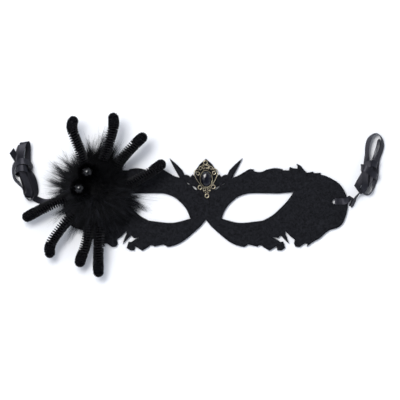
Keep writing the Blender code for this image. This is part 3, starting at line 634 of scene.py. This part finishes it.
# Hairs that stand up round each bead: how many, how high and in what ring round its middle they are rooted,
# how high above its middle they end, the radius of a root, their share of the other hairs' variety, and the
# first ring's seed
EYE_HAIRS = 1900
EYE_ROOTS = 12 * MM
EYE_RING = (4.3 * MM, 7.0 * MM)
EYE_RING_SIDES = 24
EYE_HAIR_END = 5.6 * MM
EYE_HAIR_ROOT = 0.15 * MM
EYE_VARIETY = 0.3
EYE_SEED = 10
# Between the third and the fourth leg the hair is short: that direction, how wide it is and the share that
# is cut
SHORT_TURN = math.radians(37)
SHORT_SPAN = (0.94, 0.985)
SHORT_CUT = 0.5
# The longest locks: the direction of each in degrees, and how far to each side it is rooted
LONG_LOCKS = (
    (97, 2.2), (88, 2.2), (69, 2.2), (135, 2.3), (142, 2.3), (149, 2.3), (156, 2.3), (163, 2.3), (170, 2.3),
    (178, 2.3), (212, 2.4), (240, 1.8), (262, 2.4), (-2, 1.8), (-10, 2.6), (-19, 2.8), (-28, 2.8),
)
LOCK_HEIGHTS = (3 * MM, 14 * MM)
# Beside the upper legs the hair parts: its height there, how far from a leg's middle line that reaches, and
# how far from the fur's middle it begins
PARTED_HEIGHT = 11 * MM
PARTED_WIDTH = (4.4 * MM, 7 * MM)
PARTED_FROM = (25 * MM, 30 * MM)
# The fur is darkest and dullest round the eyes, and lighter and shinier further out. Elsewhere strands differ
# in colour, and a hair a little from its strand.
DARK_MIDDLE = Vector((-86.3 * MM, 28 * MM, 0))
DARK_WIDTH = (12 * MM, 28 * MM)
DARKEST_FUR_COLOUR = (0.0035, 0.0035, 0.004, 1)
FUR_COLOURS = (0.0012, 0.0012, 0.0018), (0.045, 0.046, 0.058)
OWN_SHADE = 0.08
INNER_SHINE, OUTER_SHINE = 0.07, 0.2
# A direction or a place times this is level
LEVEL = (1, 1, 0)


def smooth_step(value, start, end):
    """0 below start and 1 above end, and smooth in between."""
    kind = "ShaderNodeMapRange"
    return add_node(value.tree, kind, value, From_Min=start, From_Max=end, interpolation_type="SMOOTHSTEP")


def keep(geometry, name, vector):
    """Keeps a vector on each point under a name, for the nodes and the material further on."""
    kind = "GeometryNodeStoreNamedAttribute"
    return add_node(geometry.tree, kind, geometry, Name=name, Value=vector, data_type="FLOAT_VECTOR")


def kept(tree, name, data_type="FLOAT_VECTOR"):
    """What is kept on each point under a name."""
    return add_node(tree, "GeometryNodeInputNamedAttribute", Name=name, data_type=data_type)


def add_circle(tree, sides):
    """The section of a tube with this many sides."""
    return add_node(tree, "GeometryNodeCurvePrimitiveCircle", Resolution=sides, Radius=1.0)


def add_tube(path, profile, radius):
    """A closed tube along each curve of the path."""
    kind = "GeometryNodeCurveToMesh"
    return add_node(path.tree, kind, path, Profile_Curve=profile, Scale=radius, Fill_Caps=True)


def make_hair_tree():
    """Hairs on a base: each leaves along the base's normal, leans outwards and down, and joins its lock."""
    tree, given = new_tree(
        "fur hairs",
        Density=1.0,
        Length=0.01,
        Root_Radius=0.0001,
        Tip_Radius=HAIR_TIP,
        Middle=FUR_MIDDLE,
        Base_Radius=FUR_BASE_AXES.x,
        Floor=HAIR_FLOOR,
        Legs="NodeSocketObject",
        Lean=LEAN,
        Lock_Size=0.005,
        Locking=0.5,
        Strands=3.5,
        Variety=1.0,
        Short_Way=Vector((math.cos(SHORT_TURN), math.sin(SHORT_TURN), 0)),
        Short_Cut=SHORT_CUT,
        Points=4,
        Seed=1,
    )
    scattered = scatter(given)
    points = keep(scattered, "root", add_node(tree, "GeometryNodeInputPosition"))
    points = keep(points, "normal", scattered["Normal"])
    points = keep(points, "chance", random_vector(given["Seed"]))
    line = add_node(tree, "GeometryNodeCurvePrimitiveLine")
    line = add_node(tree, "GeometryNodeResampleCurve", line, Count=given["Points"])
    hairs = add_node(tree, "GeometryNodeInstanceOnPoints", points, Instance=line)
    hairs = add_node(tree, "GeometryNodeRealizeInstances", hairs)

    root, normal, chance = (kept(tree, name) for name in ("root", "normal", "chance"))
    along = add_node(tree, "GeometryNodeSplineParameter")
    squared = along * along
    cells = add_node(tree, "ShaderNodeTexVoronoi", root, Scale=1.0 / given["Lock Size"])
    lock = cells["Color"] - (0.5, 0.5, 0.5)
    own, of_lock = parts(chance)[0], parts(lock)[0]
    longer = own * own * HAIR_VARIETY - HAIR_VARIETY / 2 + of_lock * LOCK_VARIETY
    length = (longer * given["Variety"] + 1.0) * given["Length"]
    outward = (root - given["Middle"]) * LEVEL
    facing = maths("DOT_PRODUCT", maths("NORMALIZE", outward), given["Short Way"])
    length = length * (1.0 - smooth_step(facing, *SHORT_SPAN) * given["Short Cut"])
    outward = outward * (1.0 / given["Base Radius"])
    outward = outward + add_node(tree, "ShaderNodeCombineXYZ", 0, 0, maths("LENGTH", outward) * -DROOP)
    fall = squared * given["Lean"]
    path = normal * (along - fall) + outward * fall
    path = path + lock * (squared * LOCK_STRAY * given["Variety"]) + chance * (squared * HAIR_STRAY)
    gather = (cells["Position"] - root) * (squared * given["Locking"])
    place = root + path * length + gather

    # Hairs near the upper legs lie lower, but not those over the spider's middle
    x, y, z = parts(place)
    legs = add_node(tree, "GeometryNodeObjectInfo", given["Legs"])["Geometry"]
    kind = "GeometryNodeProximity"
    near = add_node(tree, kind, legs, Sample_Position=place * LEVEL, target_element="EDGES")["Distance"]
    outside = smooth_step(maths("LENGTH", (place - given["Middle"]) * LEVEL), *PARTED_FROM)
    free = maths("MAXIMUM", smooth_step(near, *PARTED_WIDTH), 1.0 - outside)
    lowered = maths("MAXIMUM", z - PARTED_HEIGHT, 0.0) * (1.0 - free)
    height = maths("MAXIMUM", z - lowered, given["Floor"])
    strands = add_node(tree, "ShaderNodeTexVoronoi", root, Scale=given["Strands"] / given["Lock Size"])
    hairs = keep(hairs, "strand", strands["Color"])
    place = add_node(tree, "ShaderNodeCombineXYZ", x, y, height)
    hairs = add_node(tree, "GeometryNodeSetPosition", hairs, Position=place)
    radius = add_node(
        tree, "ShaderNodeMapRange", along, To_Min=given["Root Radius"], To_Max=given["Tip Radius"]
    )
    return end_tree(add_tube(hairs, add_circle(tree, HAIR_SIDES), radius), given)


def make_fur_material():
    """Black hair with a faint blue-grey shine. Single hairs and strands differ a little."""
    fur, tree, shader = new_material("black fur", Roughness=0.5, Specular_IOR_Level=0.25)
    own = parts(add_node(tree, "ShaderNodeAttribute", attribute_name="chance")["Vector"])[0]
    shared = parts(add_node(tree, "ShaderNodeAttribute", attribute_name="strand")["Vector"])[2]
    colour = two_colours(own * OWN_SHADE + shared, *FUR_COLOURS, start=0.78, end=1.0)
    place = add_node(tree, "ShaderNodeTexCoord")["Object"]
    # Colour and shine are darker near the eyes and lighter further out
    outer_share = smooth_step(maths("LENGTH", (place - DARK_MIDDLE) * LEVEL), *DARK_WIDTH)
    colour = add_node(tree, "ShaderNodeMixRGB", outer_share, DARKEST_FUR_COLOUR, colour)
    shine = outer_share * (OUTER_SHINE - INNER_SHINE) + INNER_SHINE
    set_inputs(shader, {"Base Color": colour, "Specular IOR Level": shine})
    return fur


def grow_hairs(name, roots, hairs, **sizes):
    """A piece of the fur: so many hairs on the faces of roots."""
    density = hairs / sum(face.calc_area() for face in roots.faces)
    mesh = to_mesh(roots, name)
    mesh = run_tree(mesh, hair_tree, Density=density, Legs=leg_lines, Material=fur, **sizes)
    mesh.shade_smooth()
    add_piece(name, mesh, "fur", "fur_pompom")


fur = make_fur_material()
hair_tree = make_hair_tree()
base = bmesh.new()
bmesh.ops.create_icosphere(base, subdivisions=4, radius=1)
for vert in base.verts:
    vert.co = FUR_MIDDLE + vert.co * FUR_BASE_AXES
    vert.co.z = max(vert.co.z, FUR_FLOOR)
mesh = to_mesh(base.copy(), "fur_base")
mesh.shade_smooth()
add_piece("fur_base", mesh, "fur", "fur_pompom", material=fur)

corners, edges = [], []
for route in LEG_ROUTES[:UPPER_LEGS]:
    edges += [(len(corners) + i, len(corners) + i + 1) for i in range(len(route) - 1)]
    corners += [(SPIDER_MIDDLE + Vector(step) * LEG_STEP) * Vector(LEVEL) for step in route]
mesh = bpy.data.meshes.new("leg lines")
mesh.from_pydata(corners, edges, [])
leg_lines = add_object("leg lines", mesh)
for name, seed, hairs, points, length, lock_size, locking, root_radius in FUR_COATS:
    rooted = base.copy()
    bare = []
    for face in rooted.faces:
        middle = face.calc_center_median() - FUR_MIDDLE
        turn = math.degrees(math.atan2(middle.y, middle.x))
        in_lock = any(abs((turn - way + 180) % 360 - 180) < spread for way, spread in LONG_LOCKS)
        height = middle.z + FUR_MIDDLE.z
        in_lock = in_lock and LOCK_HEIGHTS[0] < height < LOCK_HEIGHTS[1]
        if height < FUR_FLOOR + BARE_RIM or (name == "fur_locks" and not in_lock):
            bare.append(face)
    bmesh.ops.delete(rooted, geom=bare, context="FACES")
    grow_hairs(
        name,
        rooted,
        hairs,
        Length=length,
        Root_Radius=root_radius,
        Lock_Size=lock_size,
        Locking=locking,
        Points=points,
        Seed=seed,
    )
base.free()
for number, node in enumerate(("eye_bead_upper", "eye_bead_lower")):
    bead = sum((Vector(corner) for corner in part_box(node)), Vector()) / 2
    bm = bmesh.new()
    inner, outer = (
        [
            bm.verts.new((bead.x + radius * math.cos(t), bead.y + radius * math.sin(t), EYE_ROOTS))
            for t in round_turns(EYE_RING_SIDES)
        ]
        for radius in EYE_RING
    )
    for i in range(EYE_RING_SIDES):
        bm.faces.new((inner[i - 1], outer[i - 1], outer[i], inner[i]))
    grow_hairs(
        node.replace("eye_bead", "fur_round_eye"),
        bm,
        EYE_HAIRS,
        Length=bead.z + EYE_HAIR_END - EYE_ROOTS,
        Root_Radius=EYE_HAIR_ROOT,
        Middle=bead,
        Base_Radius=EYE_RING[1],
        Lean=0.02,
        Lock_Size=3 * MM,
        Locking=0.3,
        Variety=EYE_VARIETY,
        Short_Cut=0.0,
        Seed=EYE_SEED + number,
    )
bpy.data.objects.remove(leg_lines)

# Legs. Eight bent lengths of thick black chenille stem, glued under the fur. A stem is a twisted wire that
# holds a brush of pile. The pile stands in a ridge that winds round like a screw's, and is fuller at the tip.
LEG_SAMPLES = 8
PILE_PITCH = 2.0 * MM
PILE_RADIUS = 4.5 * MM
TIP_RADIUS = 4.65 * MM
TIP_LENGTH = 12 * MM
CORE_RADIUS = 1.9 * MM
CORE_SIDES = 14
# The core: length of one of its rows as a share of the pitch, height of its ridge as a share of its radius,
# how much thicker it is in the tip, and how blunt its end is
ROW_LENGTH = 0.25
RIDGE = 0.26
TIP_CORE = 1.1
TIP_BLUNTNESS = 0.05
# Threads of pile on a leg, the radius of one at its foot, and its share of that at its end
PILE_THREADS = 4800
THREAD_RADIUS = 0.33 * MM
THREAD_END = 0.4
# How far the stem runs on past its route
TIP_REACH = 1.4 * MM
# The side of each leg on which the pile's rings stand apart. On its other side they are matted together.
PARTED_SIDES = (
    (-0.15, 0, 0.6), (-0.15, 0, 0.6), (-0.3, 0.4, 0.5), (-0.3, 0.7, 0.3),
    (0.3, -0.9, 0.2), (-0.5, 0.4, 0.4), (-0.25, 0, 0.5), (0.4, 0, 0.5),
)
# How much a thread has to face that side to stand in a ring. Threads spread along the stem by a share of the
# pitch, in a ring by the first share alone and in matted pile by both. On the parted side each third thread
# is shorter, and lies between the rings.
PARTED_SPAN = (-0.45, 0.05)
RING_SPREAD = 0.18
MATTED_SPREAD = 0.42
SHORT_THREAD = 3
SHORTENING = 0.55
# How far threads stray round the stem, in their slant and in length, how deep in the core their feet are, and
# how far before the stem's end the last of them are rooted, as a share of the tip's radius
TURN_STRAY = 0.3
SLANT_STRAY = 0.04
LENGTH_STRAY = 0.05
FOOT_DEPTH = 0.8
LAST_ROOT = 0.85
# Black pile, and the grey of the few threads that are painted as glints of light
CHENILLE_COLOURS = (0.003, 0.003, 0.004), (0.04, 0.04, 0.052)


def make_chenille_tree():
    """A chenille stem along its route: a ribbed core, and threads of pile in a ridge that winds round it."""
    tree, given = new_tree(
        "chenille stem",
        Pitch=PILE_PITCH,
        Pile_Radius=PILE_RADIUS,
        Tip_Radius=TIP_RADIUS,
        Tip_Length=TIP_LENGTH,
        Core_Radius=CORE_RADIUS,
        Ridge=RIDGE,
        Threads=PILE_THREADS,
        Thread_Radius=THREAD_RADIUS,
        Thread_End=THREAD_END,
        Parted_Side=Vector((1, 0, 0)),
        Seed=1,
    )
    pitch, tip_radius = given["Pitch"], given["Tip Radius"]
    route = add_node(tree, "GeometryNodeMeshToCurve", given["Geometry"])
    whole = add_node(tree, "GeometryNodeCurveLength", route)
    rows = add_node(tree, "GeometryNodeResampleCurve", route, Length=pitch * ROW_LENGTH, mode="LENGTH")
    here = add_node(tree, "GeometryNodeSplineParameter")["Length"]
    tip_start = whole - given["Tip Length"]
    tip_end = tip_start + pitch
    fuller = smooth_step(here, tip_start, tip_end)
    left = maths("MINIMUM", (whole - here) / tip_radius + TIP_BLUNTNESS, 1.0)
    rounding = maths("SQRT", left * (2.0 - left))
    core_radius = (fuller * TIP_CORE + 1.0) * rounding * given["Core Radius"]
    rows = keep(rows, "centre", add_node(tree, "GeometryNodeInputPosition"))
    rows = keep(rows, "ridge", add_node(tree, "ShaderNodeCombineXYZ", here, 1.0 - fuller))
    round_it = add_node(tree, "GeometryNodeSplineParameter")
    profile = keep(add_circle(tree, CORE_SIDES), "turn", add_node(tree, "ShaderNodeCombineXYZ", round_it))
    core = add_tube(rows, profile, core_radius)
    run, ridged, _ = parts(kept(tree, "ridge"))
    phase = run / pitch - parts(kept(tree, "turn"))[0]
    swell = (maths("COSINE", phase * (2 * math.pi)) * 0.5 + 0.5) * ridged * given["Ridge"] + 1.0
    centre = kept(tree, "centre")
    place = centre + (add_node(tree, "GeometryNodeInputPosition") - centre) * swell
    core = add_node(tree, "GeometryNodeSetPosition", core, Position=place)

    threads = add_node(tree, "GeometryNodePoints", given["Threads"])
    number = add_node(tree, "GeometryNodeInputIndex")
    run = (number + 0.5) / given["Threads"] * whole
    threads = keep(threads, "chance", random_vector(given["Seed"]))
    chance = kept(tree, "chance")
    by_length, by_turn, by_reach = parts(chance)
    in_tip = smooth_step(run, tip_start, tip_end)
    turn = run / pitch * (2 * math.pi) + by_turn * TURN_STRAY
    beside = add_node(tree, "GeometryNodeSampleCurve", route, Length=run, mode="LENGTH")
    side = maths("CROSS_PRODUCT", beside["Tangent"], beside["Normal"])
    outward = beside["Normal"] * maths("COSINE", turn) + side * maths("SINE", turn)
    facing = maths("DOT_PRODUCT", outward, given["Parted Side"])
    parted = smooth_step(facing, *PARTED_SPAN) * (1.0 - in_tip)
    short = maths("COMPARE", maths("MODULO", number, SHORT_THREAD), 0.0, 0.5)
    loose = maths("MAXIMUM", 1.0 - parted, short)
    run = run + (loose * MATTED_SPREAD + RING_SPREAD) * by_length * pitch
    # Over the rounded end the threads turn from outwards to straight on
    bend = add_node(
        tree, "ShaderNodeMapRange", run, From_Min=whole - tip_radius, From_Max=whole, To_Max=math.pi / 2
    )
    foot_place = maths("MINIMUM", run, whole - tip_radius * LAST_ROOT)
    foot = add_node(tree, "GeometryNodeSampleCurve", route, Length=foot_place, mode="LENGTH")
    outward = outward * maths("COSINE", bend) + foot["Tangent"] * maths("SINE", bend)
    outward = maths("NORMALIZE", outward + chance * SLANT_STRAY)
    depth = given["Core Radius"] * FOOT_DEPTH
    place = foot["Position"] + outward * depth
    threads = add_node(tree, "GeometryNodeSetPosition", threads, Position=place)
    reach = add_node(tree, "ShaderNodeMapRange", in_tip, To_Min=given["Pile Radius"], To_Max=tip_radius)
    reach = reach * (by_reach * LENGTH_STRAY + (1 - LENGTH_STRAY))
    reach = reach * (short * parted * -SHORTENING + 1.0)
    pile = add_spikes(threads, outward, given["Thread Radius"], reach - depth, given["Thread End"])
    stem = tree.nodes.new("GeometryNodeJoinGeometry")
    for geometry in (core, pile):
        tree.links.new(geometry.socket, stem.inputs[0])
    return end_tree(Output(stem.outputs[0]), given)


def make_chenille_material():
    """Black pile with a soft sheen. A few threads are painted greyer as glints of light."""
    chenille, tree, shader = new_material("black chenille", Roughness=0.6)
    chance = add_node(tree, "ShaderNodeAttribute", attribute_name="chance")["Vector"]
    # Painted highlight: a few random threads are greyer, as glints
    colour = two_colours(parts(chance)[1], *CHENILLE_COLOURS, start=0.86, end=0.97)
    # The core has no chance of its own, and is dull
    shine = add_node(tree, "ShaderNodeMapRange", maths("LENGTH", chance), From_Max=0.05, To_Max=0.4)
    set_inputs(shader, {"Base Color": colour, "Specular IOR Level": shine})
    return chenille


chenille = make_chenille_material()
chenille_tree = make_chenille_tree()
for number, (route, parted_side) in enumerate(zip(LEG_ROUTES, PARTED_SIDES), start=1):
    places = smooth_through([SPIDER_MIDDLE + Vector(step) * LEG_STEP for step in route], LEG_SAMPLES)
    places.append(places[-1] + (places[-1] - places[-2]).normalized() * TIP_REACH)
    mesh = bpy.data.meshes.new("leg route")
    mesh.from_pydata(places, [(i, i + 1) for i in range(len(places) - 1)], [])
    mesh = run_tree(mesh, chenille_tree, Parted_Side=Vector(parted_side), Seed=number, Material=chenille)
    add_piece(f"chenille_leg_{number}", mesh, "chenille", f"leg_{number}")

# Beads. Two polished black beads, glued into the fur as the spider's eyes. Each is a ball that is pierced
# from side to side, as a bead for threading is.
BEAD_HOLE_RADIUS = 0.6 * MM
BEAD_SIDES = 40
# Steps from one end of the hole to the other, over the outside
BEAD_PROFILE_STEPS = 22
GLOSS_COLOURS = (0.002, 0.002, 0.002), (0.004, 0.004, 0.005)


def join_rings(bm, rings):
    """Faces from each ring of corners to the next, and from the last one to the first."""
    for ring, after in zip(rings, rings[1:] + rings[:1]):
        for i in range(len(ring)):
            k = (i + 1) % len(ring)
            bm.faces.new((ring[i], ring[k], after[k], after[i]))
    bmesh.ops.recalc_face_normals(bm, faces=bm.faces)


def make_bead(name, node):
    """A ball turned round its hole, which lies across it."""
    low, high = (Vector(corner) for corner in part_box(node))
    middle, radius = (low + high) / 2, (high.x - low.x) / 2
    first = math.asin(BEAD_HOLE_RADIUS / radius)
    bm = bmesh.new()
    rings = []
    for k in range(BEAD_PROFILE_STEPS + 1):
        turn = first + (math.pi - 2 * first) * k / BEAD_PROFILE_STEPS
        place, away = -math.cos(turn) * radius, math.sin(turn) * radius
        ring = [Vector((place, math.cos(t) * away, math.sin(t) * away)) for t in round_turns(BEAD_SIDES)]
        rings.append([bm.verts.new(middle + corner) for corner in ring])
    join_rings(bm, rings)
    add_piece(name, to_mesh(bm, name, SHARP), "bead", node, material=gloss)


gloss, tree, shader = new_material("black bead", Roughness=0.05, Specular_IOR_Level=0.5)
haze = speckle(tree, scale=900.0, detail=2.0)
wear = add_node(tree, "ShaderNodeMapRange", haze, To_Min=0.03, To_Max=0.1)
set_inputs(shader, {"Base Color": two_colours(haze, *GLOSS_COLOURS, start=0.3, end=0.7), "Roughness": wear})
make_bead("upper_eye_bead", "eye_bead_upper")
make_bead("lower_eye_bead", "eye_bead_lower")

# Crest. A small filigree setting, cast in brass as rings and scrolls of wire with grains of metal where they
# meet, blackened and then rubbed bright on top. Its faces that point up are also painted paler as a
# highlight, and its sides darker as shade. It is glued to the felt, and its oval rim holds the stone.
CREST_MIDDLE = Vector((0.24 * MM, 20.88 * MM, 2.8 * MM))
CREST_TILT = math.radians(2.4)
CREST_STEP = 0.8 * MM
# Half of the oval inside the rim
OVAL_HALF = Vector((4.72 * MM, 6.58 * MM))
RIM_SIDES = 72
# The rim's section in millimetres, from its foot outside to its foot inside: distance out from the oval and
# height above the crest's back
RIM_SECTION = (
    (0.62, 0), (0.66, 0.5), (0.46, 0.8), (0.46, 1.5), (0.56, 1.85),
    (0.4, 2.15), (0.1, 2.2), (-0.12, 2.0), (0, 1.7), (0, 0),
)
# Closed rings of wire, in steps from the crest's middle: x, y, radius and wire radius
CREST_RINGS = (
    (0, 16.3, 1.95, 0.52),
    (8.0, 5.7, 1.6, 0.45),
    (6.7, -8.3, 1.85, 0.52),
    (2.15, -10.4, 1.35, 0.36),
    (5.2, 11.0, 1.5, 0.32),
    (0, -17.0, 1.9, 0.5),
)
# Open wires, in steps: the points that one goes through, and its radius at its two ends and in its middle
CREST_WIRES = (
    (
        (
            (6.4, 8.6), (8.4, 9.8), (10.6, 9.0), (11.7, 7.0), (11.5, 4.6),
            (10.5, 1.8), (8.9, -1.4), (6.9, -4.4), (5.4, -6.6),
        ),
        (0.32, 0.46),
    ),
    (((9.4, 6.2), (9.9, 7.2), (9.3, 8.0), (8.2, 7.9)), (0.36, 0.3)),
    (
        ((0.2, 14.2), (1.9, 13.4), (2.9, 11.9), (2.3, 10.3), (1.0, 10.2), (0.7, 11.3), (1.4, 11.8)),
        (0.36, 0.36),
    ),
    (((1.5, 14.8), (3.0, 13.9), (4.2, 12.9)), (0.26, 0.34)),
    (((3.6, 10.2), (4.6, 9.6), (5.4, 8.4)), (0.34, 0.3)),
    (((3.3, -9.4), (4.2, -8.9), (5.2, -8.6)), (0.36, 0.36)),
    (((0.5, -11.4), (1.7, -11.7), (2.9, -11.6), (3.4, -12.5), (2.5, -13.3)), (0.26, 0.36)),
    (((0.0, -12.4), (0.8, -13.0), (1.7, -13.9), (2.0, -14.8)), (0.26, 0.32)),
)
# Grains, in steps: x, y and radius
CREST_GRAINS = (
    (0, 18.6, 0.5), (0, 13.7, 0.75), (4.2, 12.8, 0.6), (2.4, 9.6, 0.5), (5.6, 8.8, 0.6), (8.9, 7.9, 0.6),
    (7.2, 3.6, 0.5), (5.0, -7.0, 0.65), (4.0, -9.2, 0.55), (0, -9.0, 0.6), (0, -12.3, 0.55),
    (1.2, -14.6, 0.45),
)
WIRE_SAMPLES = 5
RING_SAMPLES = 20
WIRE_SIDES = 12
# Height of the wires' middle above the crest's back, how far it rises from a wire's ends to its middle, and
# how far a grain stands over the wires
WIRE_HEIGHT = 0.6 * MM
WIRE_RISE = 0.45 * MM
GRAIN_RISE = 0.2 * MM
# Brass at its darkest, blackened, and at its palest, worn, and the brown in between. It is worn pale in
# spots.
# Faces that point up are painted paler as a highlight, so that the sides stay dark as painted shade.
BRASS_COLOURS = (0.015, 0.012, 0.008), (0.8, 0.72, 0.53)
BRASS_BROWN = (0.075, 0.06, 0.036, 1)
SPOT_WEAR = 0.9
WEAR_AND_HIGHLIGHT_RANGE = 0.55


def crest_point(x, y, z):
    """A point in metres from steps of the crest and a height above its back."""
    turned = Vector((x, y, 0)) * CREST_STEP
    turned.rotate(Euler((0, 0, CREST_TILT)))
    return CREST_MIDDLE + turned + Vector((0, 0, z))


def lay_wire(bm, points, radii, closed=False):
    """Edges through the points, for the wire tree."""
    thickness = bm.verts.layers.float["thickness"]
    made = []
    for point, radius in zip(points, radii):
        vert = bm.verts.new(point)
        vert[thickness] = radius
        made.append(vert)
    for a, b in zip(made, made[1:] + made[:1] * closed):
        bm.edges.new((a, b))


def make_wire_tree():
    """Round wire along edges, as thick at each point as its thickness says."""
    tree, given = new_tree("cast wire", Sides=WIRE_SIDES)
    path = add_node(tree, "GeometryNodeMeshToCurve", given["Geometry"])
    return end_tree(add_tube(path, add_circle(tree, given["Sides"]), kept(tree, "thickness", "FLOAT")), given)


def make_brass():
    """Antique brass worn in spots, with a painted highlight on what faces up and painted shade on its sides.
    """
    brass, tree, shader = new_material("antique brass", Metallic=1.0, Roughness=0.32)
    spots = speckle(tree, scale=1400.0, detail=4.0)
    top = add_node(tree, "ShaderNodeAttribute", attribute_name="top")["Fac"]
    # Real worn spots, plus a painted highlight on faces that point up
    wear = spots * SPOT_WEAR + smooth_step(top, start=0.7, end=1.0)
    colour = two_colours(wear * WEAR_AND_HIGHLIGHT_RANGE, *BRASS_COLOURS, start=0.25, end=0.8)
    colour.node.color_ramp.elements.new(0.6).color = BRASS_BROWN
    dull = add_node(tree, "ShaderNodeMapRange", wear, From_Max=1.5, To_Min=0.6, To_Max=0.26)
    bump = add_node(tree, "ShaderNodeBump", Height=spots, Strength=0.5, Distance=0.08 * MM)
    set_inputs(shader, {"Base Color": colour, "Roughness": dull, "Normal": bump})
    return brass


brass = make_brass()
bm = bmesh.new()
bm.verts.layers.float.new("thickness")
for x, y, radius, wire in CREST_RINGS:
    for side in (1, -1) if x else (1,):
        turns = round_turns(RING_SAMPLES)
        ring = [(x * side + radius * math.cos(t), y + radius * math.sin(t), WIRE_HEIGHT) for t in turns]
        lay_wire(bm, [crest_point(*place) for place in ring], [wire * CREST_STEP] * len(ring), closed=True)
for route, (end, middle) in CREST_WIRES:
    for side in (1, -1):
        flat = smooth_through([(x * side, y, 0) for x, y in route], WIRE_SAMPLES)
        bulge = [math.sin(math.pi * k / (len(flat) - 1)) for k in range(len(flat))]
        points = [crest_point(p.x, p.y, WIRE_HEIGHT + WIRE_RISE * b) for p, b in zip(flat, bulge)]
        lay_wire(bm, points, [(end + (middle - end) * b) * CREST_STEP for b in bulge])
mesh = run_tree(to_mesh(bm, "crest wires"), make_wire_tree(), Material=brass)

bm = bmesh.new()
bm.from_mesh(mesh)
for x, y, radius in CREST_GRAINS:
    for side in (1, -1) if x else (1,):
        place = Matrix.Translation(crest_point(x * side, y, WIRE_HEIGHT + GRAIN_RISE))
        bmesh.ops.create_icosphere(bm, subdivisions=2, radius=radius * CREST_STEP, matrix=place)
rings = []
for turn in round_turns(RIM_SIDES):
    ring = []
    for out, height in RIM_SECTION:
        x = math.cos(turn) * (OVAL_HALF.x + out * MM) / CREST_STEP
        y = math.sin(turn) * (OVAL_HALF.y + out * MM) / CREST_STEP
        ring.append(bm.verts.new(crest_point(x, y, height * MM)))
    rings.append(ring)
join_rings(bm, rings)
bm.normal_update()
# Painted highlight: how far each face points up, which the brass material turns paler
top = bm.verts.layers.float.new("top")
for vert in bm.verts:
    vert[top] = max(vert.normal.z, 0)
bm.to_mesh(mesh)
bm.free()
mesh.shade_smooth()
add_piece("brass_crest", mesh, "brass", "brass_filigree_setting")

# Stone. An oval black glass stone, cut with a table, two rows of facets round it and a flat girdle. It is
# held in the crest's rim.
STONE_HALF = Vector((4.5 * MM, 6.34 * MM))
STONE_BACK = 3.8 * MM
# Rows of the stone's corners, from back to face: how many, turn as a share of a facet, distance out as a
# share of the stone's half sides, and height in millimetres
STONE_ROWS = (
    (16, 0.0, 0.8, 0.0),
    (32, 0.0, 0.99, 0.7),
    (32, 0.0, 1.0, 1.5),
    (16, 0.5, 0.86, 2.75),
    (8, 0.0, 0.68, 3.72),
    (8, 0.5, 0.32, 4.2),
)
# How far the edges between the facets are worn
STONE_WEAR = 0.04 * MM
STONE_COLOURS = (0.002, 0.002, 0.003), (0.004, 0.004, 0.010)

bm = bmesh.new()
for count, turned, size, height in STONE_ROWS:
    for turn in round_turns(count, turned):
        x = math.cos(turn) * size * STONE_HALF.x / CREST_STEP
        y = math.sin(turn) * size * STONE_HALF.y / CREST_STEP
        bm.verts.new(crest_point(x, y, STONE_BACK - CREST_MIDDLE.z + height * MM))
bmesh.ops.convex_hull(bm, input=bm.verts)
bmesh.ops.dissolve_limit(bm, angle_limit=FLAT_CORNER, verts=bm.verts, edges=bm.edges)
bmesh.ops.bevel(
    bm,
    geom=bm.edges[:],
    offset=STONE_WEAR,
    offset_type="OFFSET",
    segments=1,
    affect="EDGES",
    clamp_overlap=True,
)
bmesh.ops.recalc_face_normals(bm, faces=bm.faces)
stone, tree, shader = new_material("black stone", Roughness=0.05, Specular_IOR_Level=0.5)
cloud = speckle(tree, scale=260.0, detail=2.0)
set_inputs(shader, {"Base Color": two_colours(cloud, *STONE_COLOURS, start=0.35, end=0.65)})
add_piece("black_stone", to_mesh(bm, "black_stone"), "stone", "black_faceted_stone", material=stone)

# Table and light. The table is plain white. A wide soft light from the upper left throws soft shadows to the
# lower right, and its brighter middle gives polished pieces their bright spots. White walls all round fill
# the shadows, and the ceiling over the camera is dark.
TABLE_SIDE = 6.0
TABLE_COLOUR = (0.92, 0.92, 0.93, 1)
KEY_PLACE = Vector((-0.54, 0.58, 1.54))
# Each light: name, its two sides, its share of the distance to that place and its power
LIGHTS = (
    ("wide light", 1.6, 1.6, 1.0, 9.2),
    ("bright middle", 1.0, 0.48, 0.95, 15.0),
)
WALLS = 0.82
CEILING = 0.15
ROOM_COLOUR = (0.92, 0.985, 1.115, 1)
# Where the walls end and the ceiling begins, as the height of a direction
WALL_TOP, CEILING_EDGE = 0.7, 0.9

bm = bmesh.new()
bmesh.ops.create_grid(bm, x_segments=1, y_segments=1, size=TABLE_SIDE / 2)
mesh = to_mesh(bm, "table")
mesh.materials.append(new_material("white table", Base_Color=TABLE_COLOUR, Roughness=0.6)[0])
add_object("table", mesh)

for name, width, height, share, power in LIGHTS:
    light_data = bpy.data.lights.new(name, "AREA")
    light_data.shape = "ELLIPSE"
    light_data.size, light_data.size_y = width, height
    light_data.energy = power
    light = add_object(name, light_data)
    light.location = KEY_PLACE * share
    light.rotation_euler = (-KEY_PLACE).to_track_quat("-Z", "Y").to_euler()

world = bpy.data.worlds.new("surround")
world.use_nodes = True
room = world.node_tree
upward = parts(add_node(room, "ShaderNodeTexCoord")["Generated"])[2]
glow = add_node(
    room, "ShaderNodeMapRange", upward, From_Min=WALL_TOP, From_Max=CEILING_EDGE, To_Min=WALLS, To_Max=CEILING
)
set_inputs(room.nodes["Background"], {"Color": ROOM_COLOUR, "Strength": glow})
bpy.context.scene.world = world
bpy.context.scene.view_settings.view_transform = "Standard"
